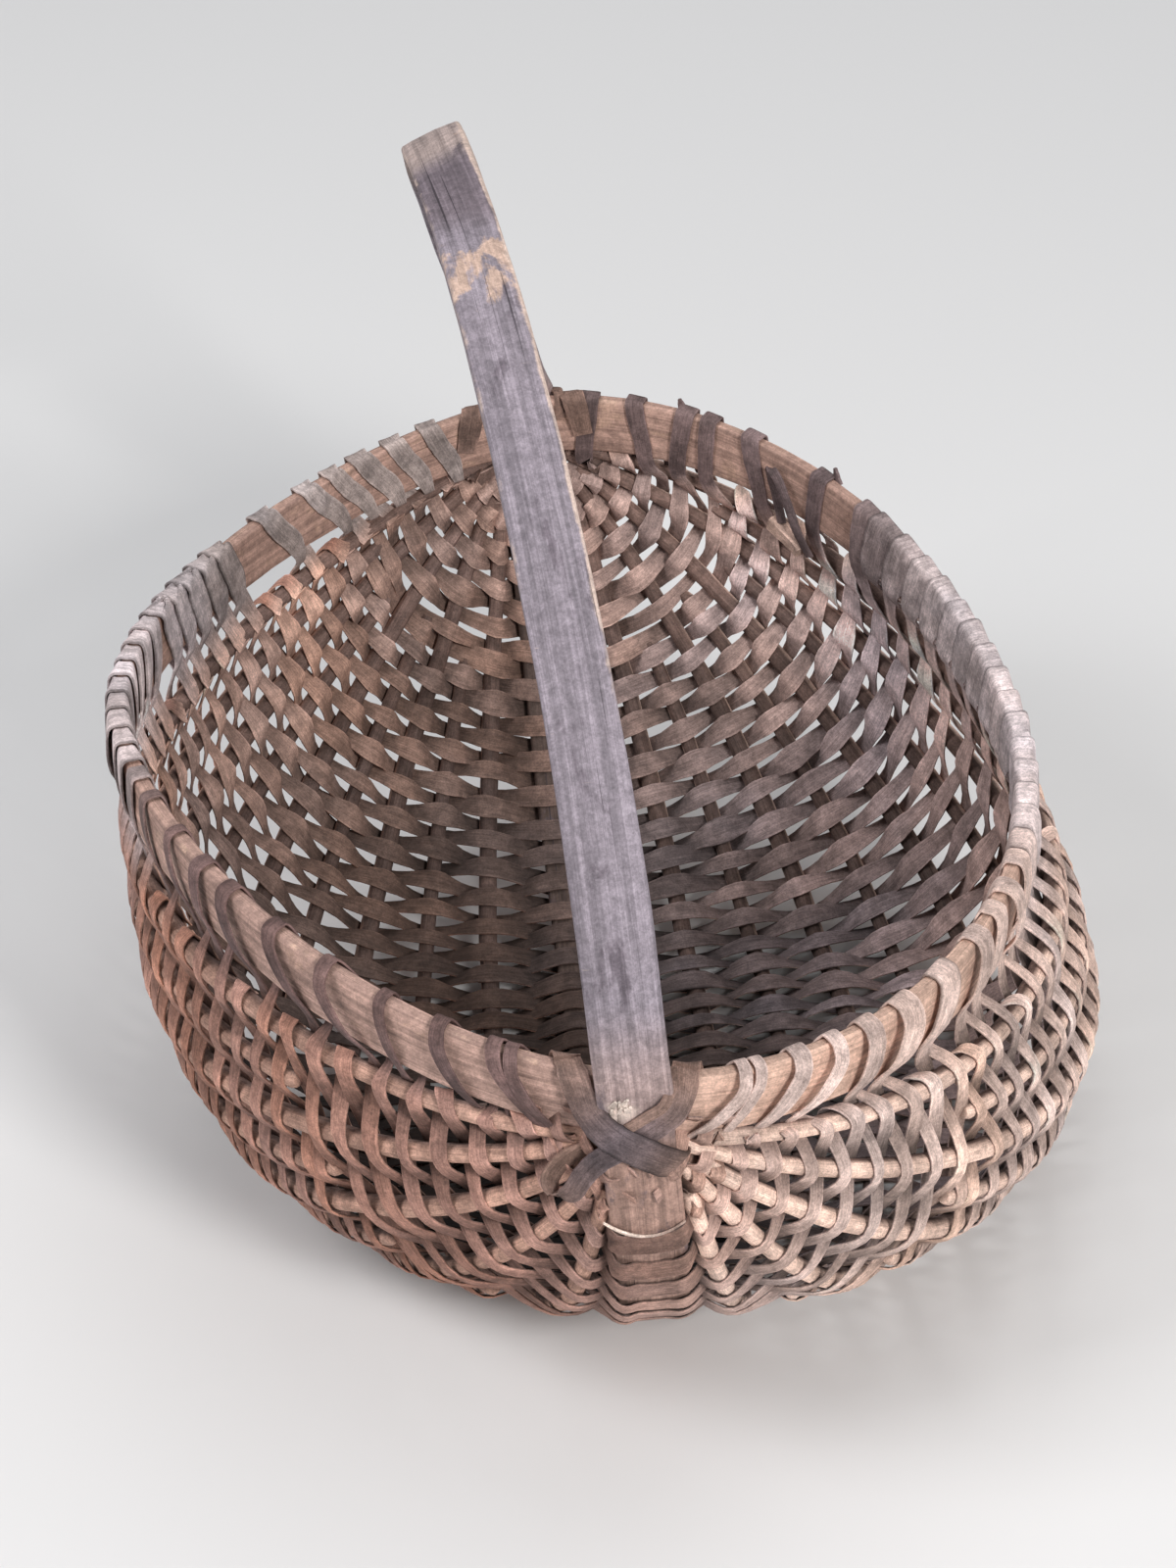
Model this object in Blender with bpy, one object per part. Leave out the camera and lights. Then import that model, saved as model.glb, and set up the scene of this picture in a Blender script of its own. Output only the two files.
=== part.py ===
"""A buttocks basket: two crossed hoops, whittled ribs and split-wood weavers.

Metres, +Z up. The basket's length runs along Y, from the near ear at -Y to the far ear at +Y,
and an ear is where the two hoops cross. Everything is worked out about the middle of the rim
and moved at the end, so that the basket stands on z = 0 with its box centred on the origin.
"""
import math

import bmesh
import bpy
from mathutils import Vector

# Rim hoop, measured to the middle of its strip
RIM_LENGTH = 0.386
RIM_WIDTH = 0.300
RIM_TALL = 0.022
RIM_THICK = 0.005
RIM_POWER = 1.83          # 2 is an ellipse, less than 2 gives the pointed ears

# Handle hoop, which passes outside the rim at both ears and under the body as its spine
HANDLE_WIDE = 0.0235
GRIP_WIDE = 0.0205        # the strip is shaved narrower towards the top
HANDLE_THICK = 0.006
HANDLE_CHAMFER = 0.0012
HANDLE_RISE = 0.205
HANDLE_POWER = 1.885
HANDLE_LEAN = 0.030       # the top has warped this far to the left
LEAN_POWER = 1.05
LEAN_SKEW = 0.57          # the far half leans more than the near half, by this share

# Body, from the rim down; the right lobe hangs fuller than the left one
BODY_DEPTH = 0.1577
SPINE_POWER = 2.52
LOBE_POWER = 1.69
LOBE_SWELL_LEFT = 0.215   # how far each lobe bulges sideways past a plain ellipse, as a share
LOBE_SWELL_RIGHT = 0.396
LOBE_DROP_LEFT = 0.215    # and downwards
LOBE_DROP_RIGHT = 0.354
LOBE_DEPTH = 0.1592       # both lobes have settled flat at this depth
BODY_SWAY = 0.007         # the bottom hangs this far to the right

# Warp of the rim, as heights at its sides and ears
TILT_ACROSS = -0.0167
TILT_ALONG = -0.0025
SADDLE = -0.0024
TWIST = 0.0104
WAVE_ACROSS = -0.0029
WAVE_ALONG = -0.0018

# Ribs, counted on each side of the spine
RIB_COUNT = 9
RIB_THICK = 0.005
RIB_POINT_THICK = 0.0026
RIB_TAPER_SHARE = 0.2     # share of its woven length over which a rib comes to full thickness
RIB_SIDES = 6
RIB_TIP_SHARE = 0.75      # the long ribs' points lie at this share of the first row's angle
LONG_RIBS = (3, 7)        # these reach into the ears; the other odd ones start further on
MIDDLE_RIB_ROW = 4        # first row that crosses the other odd ribs
SHORT_RIB_ROW = 8         # first row that crosses the even ribs

# Weavers: each goes down one side, under the spine and up the other, twice
WEAVER_COUNT = 30
ROWS_PER_WEAVER = 2
SPLIT_WIDE = 0.0062
EAR_SPLIT_WIDE = 0.0048   # the splits are narrower in the rows that cross only the long ribs
EAR_SLACK = 0.0006        # and lie looser there
SPLIT_THICK = 0.001
RIM_BARE = 0.024          # bare rim from the ear to the first row
SPINE_BARE = 0.048        # bare spine from the ear to the first row
WORN_HALF = 0.0018        # half the flat that each split wears where the settled lobes stand on it
WORN_DEPTH = 0.00005
TAIL_LIFT = 0.0013        # a weaver's tail lies over the next weaver's start by this much
TAIL_END = 0.008          # its end and the next start lie this far below and above the rim's middle

# Lashing at each ear
LASH_WIDE = 0.008
LASH_OUT = 0.0180         # from the ear to the middle of the strap where it turns over the rim
LASH_TAIL = 0.008
LASH_PAST_EDGE = 0.0025   # it stands this far past the handle's edge before it turns in
LASH_SLOPE_HEIGHT = 0.0095
LASH_DROP = 0.003         # the straps cross this far below the middle of the rim

# Clearance between pieces that touch
GAP = 0.0003

ROW_COUNT = WEAVER_COUNT * ROWS_PER_WEAVER
RIB_KNOT_ROWS = 4
HOOP_KNOT_ROWS = 2
ARCH_STEPS = 30
SECTION_STEPS = 30
CURVE_STEPS = 200
WALL_BEND = 0.100         # tightest radius of the wall across the ribs

HOOP_SHIFT = RIM_THICK / 2 + GAP + HANDLE_THICK / 2
HOOP_HEIGHT = HANDLE_THICK / 2 + GAP + SPLIT_THICK / 2
UP = Vector((0.0, 0.0, 1.0))
ACROSS = Vector((1.0, 0.0, 0.0))
LEFT = -1
RIGHT = 1


def power_wave(value, power):
    """A sine or cosine bent towards a superellipse of that power."""
    return math.copysign(abs(value) ** (2.0 / power), value)


def rim_lift(x, y):
    """How far the warped rim lies above a flat one."""
    across = x / (RIM_WIDTH / 2)
    along = y / (RIM_LENGTH / 2)
    lift = TILT_ACROSS * across + TILT_ALONG * along
    lift += SADDLE * (across ** 2 - along ** 2) + TWIST * 2 * across * along
    lift += WAVE_ACROSS * (4 * across ** 3 - 3 * across)
    lift += WAVE_ALONG * (3 * along - 4 * along ** 3)
    return lift


def wall_point(phi, theta, side):
    """Middle of the wall: phi runs from ear to ear, theta from the rim (0) to the spine (90 degrees)."""
    lowness = math.sin(theta) ** 2
    power = RIM_POWER + (LOBE_POWER - RIM_POWER) * lowness + (SPINE_POWER - LOBE_POWER) * lowness ** 4
    along = power_wave(math.cos(phi), power)
    across = power_wave(math.sin(phi), power)
    lobe = math.sin(2 * theta) ** 2
    swell = 1.0 + (LOBE_SWELL_LEFT if side == LEFT else LOBE_SWELL_RIGHT) * lobe
    drop = 1.0 + (LOBE_DROP_LEFT if side == LEFT else LOBE_DROP_RIGHT) * lobe
    x = side * RIM_WIDTH / 2 * math.cos(theta) * swell * across
    y = -(RIM_LENGTH / 2 + HOOP_SHIFT * lowness) * along
    depth = min(BODY_DEPTH * math.sin(theta) * drop * across, LOBE_DEPTH)
    share = min(depth / BODY_DEPTH, 1.0)
    z = rim_lift(x, y) * (1.0 - share) - depth
    return Vector((x + BODY_SWAY * math.sin(share * math.pi / 2), y, z))


def arch_point(s):
    """Middle of the handle strip above the rim, from the near ear (0) to the far ear (pi)."""
    rise = power_wave(math.sin(s), HANDLE_POWER)
    y = -(RIM_LENGTH / 2 + HOOP_SHIFT) * power_wave(math.cos(s), HANDLE_POWER)
    z = rim_lift(0.0, y) * (1.0 - rise) + HANDLE_RISE * rise
    return Vector((-HANDLE_LEAN * (rise ** LEAN_POWER - LEAN_SKEW * rise * math.cos(s)), y, z))


def lengths(points):
    """Running length along a list of points."""
    run = [0.0]
    for a, b in zip(points, points[1:]):
        run.append(run[-1] + (b - a).length)
    return run


def point_at(points, run, distance):
    """Point at a distance along a list of points."""
    for k in range(len(points) - 1):
        if distance <= run[k + 1] or k == len(points) - 2:
            share = (distance - run[k]) / (run[k + 1] - run[k])
            return points[k].lerp(points[k + 1], share)
    return points[-1]


def rib_point(phi, number, side):
    """Middle of a rib: the ribs share the wall evenly between the rim's edge and the spine's edge."""
    thetas = [math.pi / 2 * k / SECTION_STEPS for k in range(SECTION_STEPS + 1)]
    points = [wall_point(phi, theta, side) for theta in thetas]
    run = lengths(points)
    free = run[-1] - RIM_TALL / 2 - HANDLE_WIDE / 2
    return point_at(points, run, RIM_TALL / 2 + free * number / (RIB_COUNT + 1))


def phi_after(curve, distance):
    """Angle at which a curve has run a distance from the near ear."""
    step = math.pi / 2 / CURVE_STEPS
    run = 0.0
    phi = 0.0
    last = curve(phi)
    while True:
        here = curve(phi + step)
        stretch = (here - last).length
        if run + stretch >= distance:
            return phi + step * (distance - run) / stretch
        run += stretch
        phi += step
        last = here


def knots_between(curve, start, end, count):
    """Points that share a curve into equal lengths between two angles."""
    points = [curve(start + (end - start) * k / CURVE_STEPS) for k in range(CURVE_STEPS + 1)]
    run = lengths(points)
    return [point_at(points, run, run[-1] * k / count) for k in range(count + 1)]


def on_knots(knots, rows_each, row):
    """Place and direction at a row, on the straight run between two knots."""
    k = min(int(row / rows_each), len(knots) - 2)
    share = row / rows_each - k
    return knots[k].lerp(knots[k + 1], share), (knots[k + 1] - knots[k]).normalized()


def rim_curve(side):
    return lambda phi: wall_point(phi, 0.0, side)


def spine_curve(phi):
    return wall_point(phi, math.pi / 2, RIGHT)


RIM_START = {side: phi_after(rim_curve(side), RIM_BARE) for side in (LEFT, RIGHT)}
SPINE_START = phi_after(spine_curve, SPINE_BARE)
RIM_KNOTS = {side: knots_between(rim_curve(side), RIM_START[side], math.pi - RIM_START[side],
                                 ROW_COUNT // HOOP_KNOT_ROWS) for side in (LEFT, RIGHT)}
SPINE_KNOTS = knots_between(spine_curve, SPINE_START, math.pi - SPINE_START,
                            ROW_COUNT // HOOP_KNOT_ROWS)


def rib_start(number, side):
    """Angle at which the first row crosses a rib."""
    share = number / (RIB_COUNT + 1)
    return RIM_START[side] + (SPINE_START - RIM_START[side]) * share


def rib_first_row(number):
    """First row that crosses a rib at the near ear, and the last one's match at the far ear."""
    if number in LONG_RIBS:
        return 0
    return MIDDLE_RIB_ROW if number % 2 == 1 else SHORT_RIB_ROW


def rib_knots(number, side):
    start = rib_start(number, side)

    def curve(phi):
        return rib_point(phi, number, side)

    return knots_between(curve, start, math.pi - start, ROW_COUNT // RIB_KNOT_ROWS)


RIB_KNOTS = {(number, side): rib_knots(number, side)
             for number in range(1, RIB_COUNT + 1) for side in (LEFT, RIGHT)}


def rib_radius(row):
    """Half the rib's thickness at a row, tapered to its whittled points."""
    from_end = min(row, ROW_COUNT - row) / ROW_COUNT / RIB_TAPER_SHARE
    share = min(max(from_end, 0.0), 1.0)
    share = share * share * (3.0 - 2.0 * share)
    return (RIB_POINT_THICK + (RIB_THICK - RIB_POINT_THICK) * share) / 2


def crossing_height(radius, spacing):
    """Height of a split's middle over a rib's, so that its slopes clear the rib as well."""
    height = radius + GAP + SPLIT_THICK / 2
    for _ in range(6):
        fall = height + max(height, HOOP_HEIGHT) + spacing ** 2 / (2 * WALL_BEND)
        height = SPLIT_THICK / 2 + (radius + GAP) * math.hypot(1.0, fall / spacing)
    return height


STAND_HEIGHT = crossing_height(RIB_THICK / 2, HANDLE_WIDE)
STAND_LEVEL = -(LOBE_DEPTH + STAND_HEIGHT + SPLIT_THICK / 2)


def strip_mesh(name, path, widths, thick, level=None):
    """Closed strip along a path; each width is the way across it, as long as the strip is wide."""
    rings = []
    for k, point in enumerate(path):
        before = (point - path[k - 1]).normalized() if k > 0 else None
        after = (path[k + 1] - point).normalized() if k < len(path) - 1 else None
        travel = (before or after) + (after or before)
        side = widths[k].normalized()
        face = travel.cross(side).normalized()
        ring = []
        for a, b in ((-1, -1), (1, -1), (1, 1), (-1, 1)):
            corner = point + widths[k] * (a / 2) + face * (b * thick / 2)
            if level is not None and corner.z < level:
                corner.z = level
            ring.append(corner)
        rings.append(ring)
    return ring_mesh(name, rings, closed=False, split=True)


def ring_mesh(name, rings, closed, split=False):
    """Solid through a list of rings of points, joined end to end or capped.

    Split, its four-sided faces are cut in two, alike on both faces of a strip, so that a
    twisted strip keeps its thickness.
    """
    mesh = bpy.data.meshes.new(name)
    build = bmesh.new()
    loops = [[build.verts.new(point) for point in ring] for ring in rings]
    count = len(loops[0])
    pairs = list(zip(loops, loops[1:]))
    if closed:
        pairs.append((loops[-1], loops[0]))
    else:
        build.faces.new(loops[0])
        build.faces.new(loops[-1])
    for first, second in pairs:
        for k in range(count):
            after = (k + 1) % count
            if not split:
                build.faces.new((first[k], first[after], second[after], second[k]))
            elif k < count // 2:
                build.faces.new((first[k], first[after], second[after]))
                build.faces.new((first[k], second[after], second[k]))
            else:
                build.faces.new((first[k], first[after], second[k]))
                build.faces.new((first[after], second[after], second[k]))
    bmesh.ops.recalc_face_normals(build, faces=build.faces)
    build.to_mesh(mesh)
    build.free()
    return mesh


def material(name, colour, roughness):
    made = bpy.data.materials.new(name)
    made.use_nodes = True
    shader = made.node_tree.nodes["Principled BSDF"]
    shader.inputs["Base Color"].default_value = (*colour, 1.0)
    shader.inputs["Roughness"].default_value = roughness
    shader.inputs["Metallic"].default_value = 0.0
    return made


def add_piece(mesh, colour, roughness, smooth=False):
    """Object for a mesh, with a material of its own."""
    piece = bpy.data.objects.new(mesh.name, mesh)
    bpy.context.scene.collection.objects.link(piece)
    mesh.materials.append(material(mesh.name + "_wood", colour, roughness))
    for face in mesh.polygons:
        face.use_smooth = smooth
    return piece


def make_rim():
    """Rim hoop: a flat strip on edge, with a knot at each ear and at each turn of the lashing."""
    centres = []
    for side in (RIGHT, LEFT):
        lash = phi_after(rim_curve(side), LASH_OUT)
        half = [wall_point(0.0, 0.0, side), wall_point(lash, 0.0, side), *RIM_KNOTS[side],
                wall_point(math.pi - lash, 0.0, side), wall_point(math.pi, 0.0, side)]
        if side == LEFT:
            half.reverse()
        centres.extend(half[:-1])
    rings = []
    count = len(centres)
    for k, centre in enumerate(centres):
        travel = centres[(k + 1) % count] - centres[k - 1]
        out = travel.cross(UP).normalized()
        ring = [centre + out * (a * RIM_THICK / 2) + UP * (b * RIM_TALL / 2)
                for a, b in ((-1, -1), (1, -1), (1, 1), (-1, 1))]
        rings.append(ring)
    return ring_mesh("rim_hoop", rings, closed=True)


def handle_width(height):
    """Width of the handle's strip at a height above the rim's middle."""
    rise = min(max(height / HANDLE_RISE, 0.0), 1.0)
    return HANDLE_WIDE + (GRIP_WIDE - HANDLE_WIDE) * rise ** 2


def make_handle():
    """Handle hoop: the arch over the body and the spine under it, in one bent strip."""
    arch = knots_between(arch_point, 0.0, math.pi, ARCH_STEPS)[1:-1]
    seat = UP * (RIM_TALL / 2 + GAP)
    near_ear = arch_point(0.0)
    far_ear = arch_point(math.pi)
    bare = phi_after(spine_curve, SPINE_BARE / 2)
    centres = [near_ear + seat, *arch, far_ear + seat, far_ear - seat, spine_curve(math.pi - bare),
               *reversed(SPINE_KNOTS), spine_curve(bare), near_ear - seat]
    half_thick = HANDLE_THICK / 2
    cut_thick = half_thick - HANDLE_CHAMFER
    rings = []
    count = len(centres)
    for k, centre in enumerate(centres):
        travel = centres[(k + 1) % count] - centres[k - 1]
        out = ACROSS.cross(travel).normalized()
        half_wide = handle_width(centre.z) / 2
        cut_wide = half_wide - HANDLE_CHAMFER
        outline = ((-cut_wide, -half_thick), (cut_wide, -half_thick), (half_wide, -cut_thick),
                   (half_wide, cut_thick), (cut_wide, half_thick), (-cut_wide, half_thick),
                   (-half_wide, cut_thick), (-half_wide, -cut_thick))
        rings.append([centre + ACROSS * a + out * b for a, b in outline])
    return ring_mesh("handle_hoop", rings, closed=True)


def make_rib(number, side):
    """One whittled rib: the long ones reach into the ears, the short ones start some rows later."""
    knots = RIB_KNOTS[(number, side)]
    rows = [k * RIB_KNOT_ROWS for k in range(len(knots))]
    radii = [rib_radius(row) for row in rows]
    skip = rib_first_row(number) // RIB_KNOT_ROWS
    if skip:
        centres = knots[skip:-skip]
        radii = radii[skip:-skip]
    else:
        tip = rib_start(number, side) * RIB_TIP_SHARE
        centres = [rib_point(tip, number, side), *knots, rib_point(math.pi - tip, number, side)]
        radii = [radii[0], *radii, radii[-1]]
    rings = []
    for k, centre in enumerate(centres):
        before = centres[max(k - 1, 0)]
        after = centres[min(k + 1, len(centres) - 1)]
        travel = (after - before).normalized()
        first = travel.cross(UP).normalized()
        second = first.cross(travel)
        ring = []
        for corner in range(RIB_SIDES):
            turn = 2 * math.pi * corner / RIB_SIDES
            ring.append(centre + (first * math.cos(turn) + second * math.sin(turn)) * radii[k])
        rings.append(ring)
    side_name = "left" if side == LEFT else "right"
    return ring_mesh(f"rib_{side_name}_{number}", rings, closed=False)


def row_stations(row):
    """Where a row crosses the wall from the left rim's edge to the right's: middle, width, height."""
    middle = row + 0.5
    from_ear = min(row, ROW_COUNT - 1 - row)
    numbers = [n for n in range(1, RIB_COUNT + 1) if rib_first_row(n) <= from_ear]
    ribs = [(n, LEFT) for n in numbers] + [(n, RIGHT) for n in reversed(numbers)]
    places = []
    for key in ribs:
        if key == (numbers[-1], RIGHT):
            spine, spine_way = on_knots(SPINE_KNOTS, HOOP_KNOT_ROWS, middle)
            for hand in (LEFT, RIGHT):
                places.append(("spine", spine + ACROSS * (hand * HANDLE_WIDE / 2), spine_way))
        centre, way = on_knots(RIB_KNOTS[key], RIB_KNOT_ROWS, middle)
        places.append(("rib", centre, way))
    outside = row % 2 == 0
    stations = []
    for k, (kind, centre, way) in enumerate(places):
        last = places[k - 1][1] if k > 0 else rim_edge(LEFT, middle)
        following = places[k + 1][1] if k < len(places) - 1 else rim_edge(RIGHT, middle)
        if kind == "spine":
            out = way.cross(ACROSS).normalized()
            height = HOOP_HEIGHT
            if places[k + 1][0] == "spine":
                outside = not outside
        else:
            out = way.cross(following - last).normalized()
            spacing = min((centre - last).length, (following - centre).length)
            slack = EAR_SLACK if from_ear < MIDDLE_RIB_ROW else 0.0
            height = crossing_height(rib_radius(middle) + slack, spacing)
            outside = not outside
        if kind == "rib" and outside and centre.z < GAP - LOBE_DEPTH:
            flat = (following - last) * Vector((1.0, 1.0, 0.0))
            under = centre - UP * (STAND_HEIGHT + WORN_DEPTH)
            for hand in (-1, 1):
                stations.append((under + flat.normalized() * (hand * WORN_HALF), way))
        else:
            stations.append((centre + out * (height if outside else -height), way))
    return stations


def rim_edge(side, row):
    """Lower edge of the rim at a row."""
    centre, _ = on_knots(RIM_KNOTS[side], HOOP_KNOT_ROWS, min(max(row, 0.0), ROW_COUNT))
    return centre - UP * (RIM_TALL / 2)


def rim_station(side, row, outward, height):
    """Point beside the rim's strip: outward of its middle, and above it."""
    centre, way = on_knots(RIM_KNOTS[side], HOOP_KNOT_ROWS, min(max(row, 0.0), ROW_COUNT))
    out = way.cross(UP).normalized() * side
    return centre + out * outward + UP * height, way


RIM_STAND_OFF = RIM_THICK / 2 + GAP + SPLIT_THICK / 2
RIM_OVER = RIM_TALL / 2 + GAP + SPLIT_THICK / 2
RIM_UNDER = -RIM_TALL / 2 - 2 * GAP


def make_weaver(number):
    """One weaver: out and back across the body, round the right rim, with its tail over the left one."""
    first = number * ROWS_PER_WEAVER
    second = first + 1
    going = first + 0.5
    coming = second + 0.5
    path = [rim_station(LEFT, going, RIM_STAND_OFF, TAIL_END),
            rim_station(LEFT, going, RIM_STAND_OFF, RIM_UNDER)]
    path += row_stations(first)
    path += [rim_station(RIGHT, going, RIM_STAND_OFF, RIM_UNDER),
             rim_station(RIGHT, going + 0.2, RIM_STAND_OFF, RIM_OVER),
             rim_station(RIGHT, going + 0.8, -RIM_STAND_OFF, RIM_OVER),
             rim_station(RIGHT, coming, -RIM_STAND_OFF, RIM_UNDER)]
    path += reversed(row_stations(second))
    tail = RIM_STAND_OFF + TAIL_LIFT
    last = ROW_COUNT - 0.5
    path += [rim_station(LEFT, coming, -RIM_STAND_OFF, RIM_UNDER),
             rim_station(LEFT, min(coming + 0.2, last), -RIM_STAND_OFF, RIM_OVER),
             rim_station(LEFT, min(coming + 0.8, last), tail, RIM_OVER),
             rim_station(LEFT, min(coming + 1.0, last), tail, -TAIL_END)]
    points = [point for point, _ in path]
    from_ear = min(first, ROW_COUNT - 1 - second)
    wide = EAR_SPLIT_WIDE if from_ear < MIDDLE_RIB_ROW else SPLIT_WIDE
    widths = [way * wide for _, way in path]
    return strip_mesh(f"weaver_{number + 1:02d}", points, widths, SPLIT_THICK, STAND_LEVEL)


def make_lash(ear, over):
    """One strap of an ear's crossed lashing, hooked over the rim's top edge and under its bottom edge."""
    name = ("near" if ear < 0 else "far") + "_lashing_" + ("over" if over else "under")
    high = LEFT if over else RIGHT
    ways = {}
    turns = {}
    for hand in (LEFT, RIGHT):
        turn = phi_after(rim_curve(hand), LASH_OUT)
        turns[hand] = wall_point(turn if ear < 0 else math.pi - turn, 0.0, hand)
        corner = wall_point(0.0 if ear < 0 else math.pi, 0.0, hand)
        ways[hand] = ((turns[hand] - corner) * hand).normalized()

    def hook(hand, outward, height):
        out = ways[hand].cross(UP).normalized() * -ear
        return turns[hand] + out * outward + UP * height

    off = RIM_THICK / 2 + 4 * GAP + SPLIT_THICK / 2
    top = RIM_TALL / 2 + 2 * GAP + SPLIT_THICK / 2
    face = HOOP_HEIGHT + (SPLIT_THICK + GAP if over else 0.0)
    middle = arch_point(0.0 if ear < 0 else math.pi) + Vector((0.0, ear * face, -LASH_DROP))
    slope = Vector((high * (HANDLE_WIDE / 2 + LASH_PAST_EDGE), 0.0, LASH_SLOPE_HEIGHT))
    across = Vector((LASH_WIDE / 2, 0.0, -high * LASH_WIDE))
    first = hook(high, off, top)
    last = hook(-high, off, -top)
    points = [hook(high, -off, top - LASH_TAIL), hook(high, -off, top), first,
              first.lerp(middle + slope, 0.5), middle + slope,
              middle - slope, last.lerp(middle - slope, 0.5),
              last, hook(-high, -off, -top), hook(-high, -off, LASH_TAIL - top)]
    high_way = ways[high] * LASH_WIDE
    low_way = ways[-high] * LASH_WIDE
    widths = [high_way, high_way, high_way, high_way.lerp(across, 0.5), across,
              across, low_way.lerp(across, 0.5), low_way, low_way, low_way]
    return strip_mesh(name, points, widths, SPLIT_THICK)


def settle(pieces):
    """Move the meshes so that the basket stands on z = 0 with its box centred on the origin."""
    corners = [vertex.co for piece in pieces for vertex in piece.data.vertices]
    lows = [min(corner[axis] for corner in corners) for axis in range(3)]
    highs = [max(corner[axis] for corner in corners) for axis in range(3)]
    shift = Vector(((lows[0] + highs[0]) / 2, (lows[1] + highs[1]) / 2, lows[2]))
    for piece in pieces:
        for vertex in piece.data.vertices:
            vertex.co -= shift


def main():
    for old in list(bpy.data.objects):
        bpy.data.objects.remove(old, do_unlink=True)

    hoop_wood = (0.22, 0.16, 0.13)
    rib_wood = (0.40, 0.28, 0.20)
    split_wood = (0.27, 0.20, 0.165)
    lash_wood = (0.14, 0.115, 0.105)

    pieces = [add_piece(make_rim(), hoop_wood, 0.75), add_piece(make_handle(), hoop_wood, 0.7)]
    for side in (LEFT, RIGHT):
        for number in range(1, RIB_COUNT + 1):
            pieces.append(add_piece(make_rib(number, side), rib_wood, 0.75, smooth=True))
    for number in range(WEAVER_COUNT):
        pieces.append(add_piece(make_weaver(number), split_wood, 0.8))
    for ear in (-1, 1):
        for over in (False, True):
            pieces.append(add_piece(make_lash(ear, over), lash_wood, 0.8))
    settle(pieces)


main()
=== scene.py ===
"""Looks of an old buttocks basket: weathered hoops, whittled ribs and hand-woven splits.

Metres, +Z up, in the CAD model's own frame. The surface functions follow the same rules and sizes
as the CAD part; the weaving here has the real basket's closer rows, its uneven splits and its wear.
"""
import random
from math import copysign, cos, hypot, pi, radians, sin

import bpy
import numpy as np
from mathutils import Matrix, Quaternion, Vector, noise


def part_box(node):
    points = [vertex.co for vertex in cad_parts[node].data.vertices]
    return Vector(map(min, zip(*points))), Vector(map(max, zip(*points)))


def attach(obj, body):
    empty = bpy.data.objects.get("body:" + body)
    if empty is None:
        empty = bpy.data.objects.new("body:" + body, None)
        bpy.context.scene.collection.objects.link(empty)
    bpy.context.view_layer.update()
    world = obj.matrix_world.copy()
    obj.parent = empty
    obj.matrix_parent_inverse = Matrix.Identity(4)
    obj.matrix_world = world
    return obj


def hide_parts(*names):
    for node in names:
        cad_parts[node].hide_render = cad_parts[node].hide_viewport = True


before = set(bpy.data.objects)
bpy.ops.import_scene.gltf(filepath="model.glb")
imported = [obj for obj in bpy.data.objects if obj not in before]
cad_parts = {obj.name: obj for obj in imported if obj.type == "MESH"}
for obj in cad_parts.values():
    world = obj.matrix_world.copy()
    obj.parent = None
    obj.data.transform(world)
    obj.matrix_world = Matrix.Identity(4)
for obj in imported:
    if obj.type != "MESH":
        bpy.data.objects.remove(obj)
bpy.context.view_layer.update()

LEFT = -1
RIGHT = 1
SIDES = (LEFT, RIGHT)
SIDE_NAME = {LEFT: "left", RIGHT: "right"}
NEAR = -1
FAR = 1
END_NAME = {NEAR: "near", FAR: "far"}
UP = Vector((0.0, 0.0, 1.0))
ACROSS = Vector((1.0, 0.0, 0.0))

# Shape of the basket, as in the CAD part
RIM_LENGTH = 0.386
RIM_WIDTH = 0.300
RIM_TALL = 0.022
RIM_THICK = 0.005
RIM_POWER = 1.83
HANDLE_WIDE = 0.0235
GRIP_WIDE = 0.0205
HANDLE_THICK = 0.006
HANDLE_RISE = 0.205
HANDLE_POWER = 1.885
HANDLE_LEAN = 0.030
LEAN_POWER = 1.05
LEAN_SKEW = 0.57
BODY_DEPTH = 0.1577
SPINE_POWER = 2.52
LOBE_POWER = 1.69
LOBE_SWELL = {LEFT: 0.215, RIGHT: 0.396}
LOBE_DROP = {LEFT: 0.215, RIGHT: 0.354}
LOBE_DEPTH = 0.1592
BODY_SWAY = 0.007
TILT_ACROSS = -0.0167
TILT_ALONG = -0.0025
SADDLE = -0.0024
TWIST = 0.0104
WAVE_ACROSS = -0.0029
WAVE_ALONG = -0.0018
RIB_COUNT = 9
RIB_TAPER_SHARE = 0.2
RIM_BARE = 0.024
SPINE_BARE = 0.048
CAD_WEAVERS = 30
GAP = 0.0003
SEAT_GAP = 0.003          # least run between the handle's straight seat and the curve above or below
HOOP_SHIFT = RIM_THICK / 2 + GAP + HANDLE_THICK / 2
RIM_LOW, RIM_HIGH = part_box("rim_hoop")
RIM_MIDDLE = Vector(((RIM_LOW[0] + RIM_HIGH[0]) / 2, (RIM_LOW[1] + RIM_HIGH[1]) / 2,
                     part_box("handle_hoop")[1][2] - HANDLE_RISE - HANDLE_THICK / 2))
CURVE_STEPS = 200
SECTION_STEPS = 30
HANDLE_STEPS = 150
RIM_STEPS = 160
CORNER_STEPS = 3
HOOP_CROWN = 0.0004
SHARP_ANGLE = radians(42.0)

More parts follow.
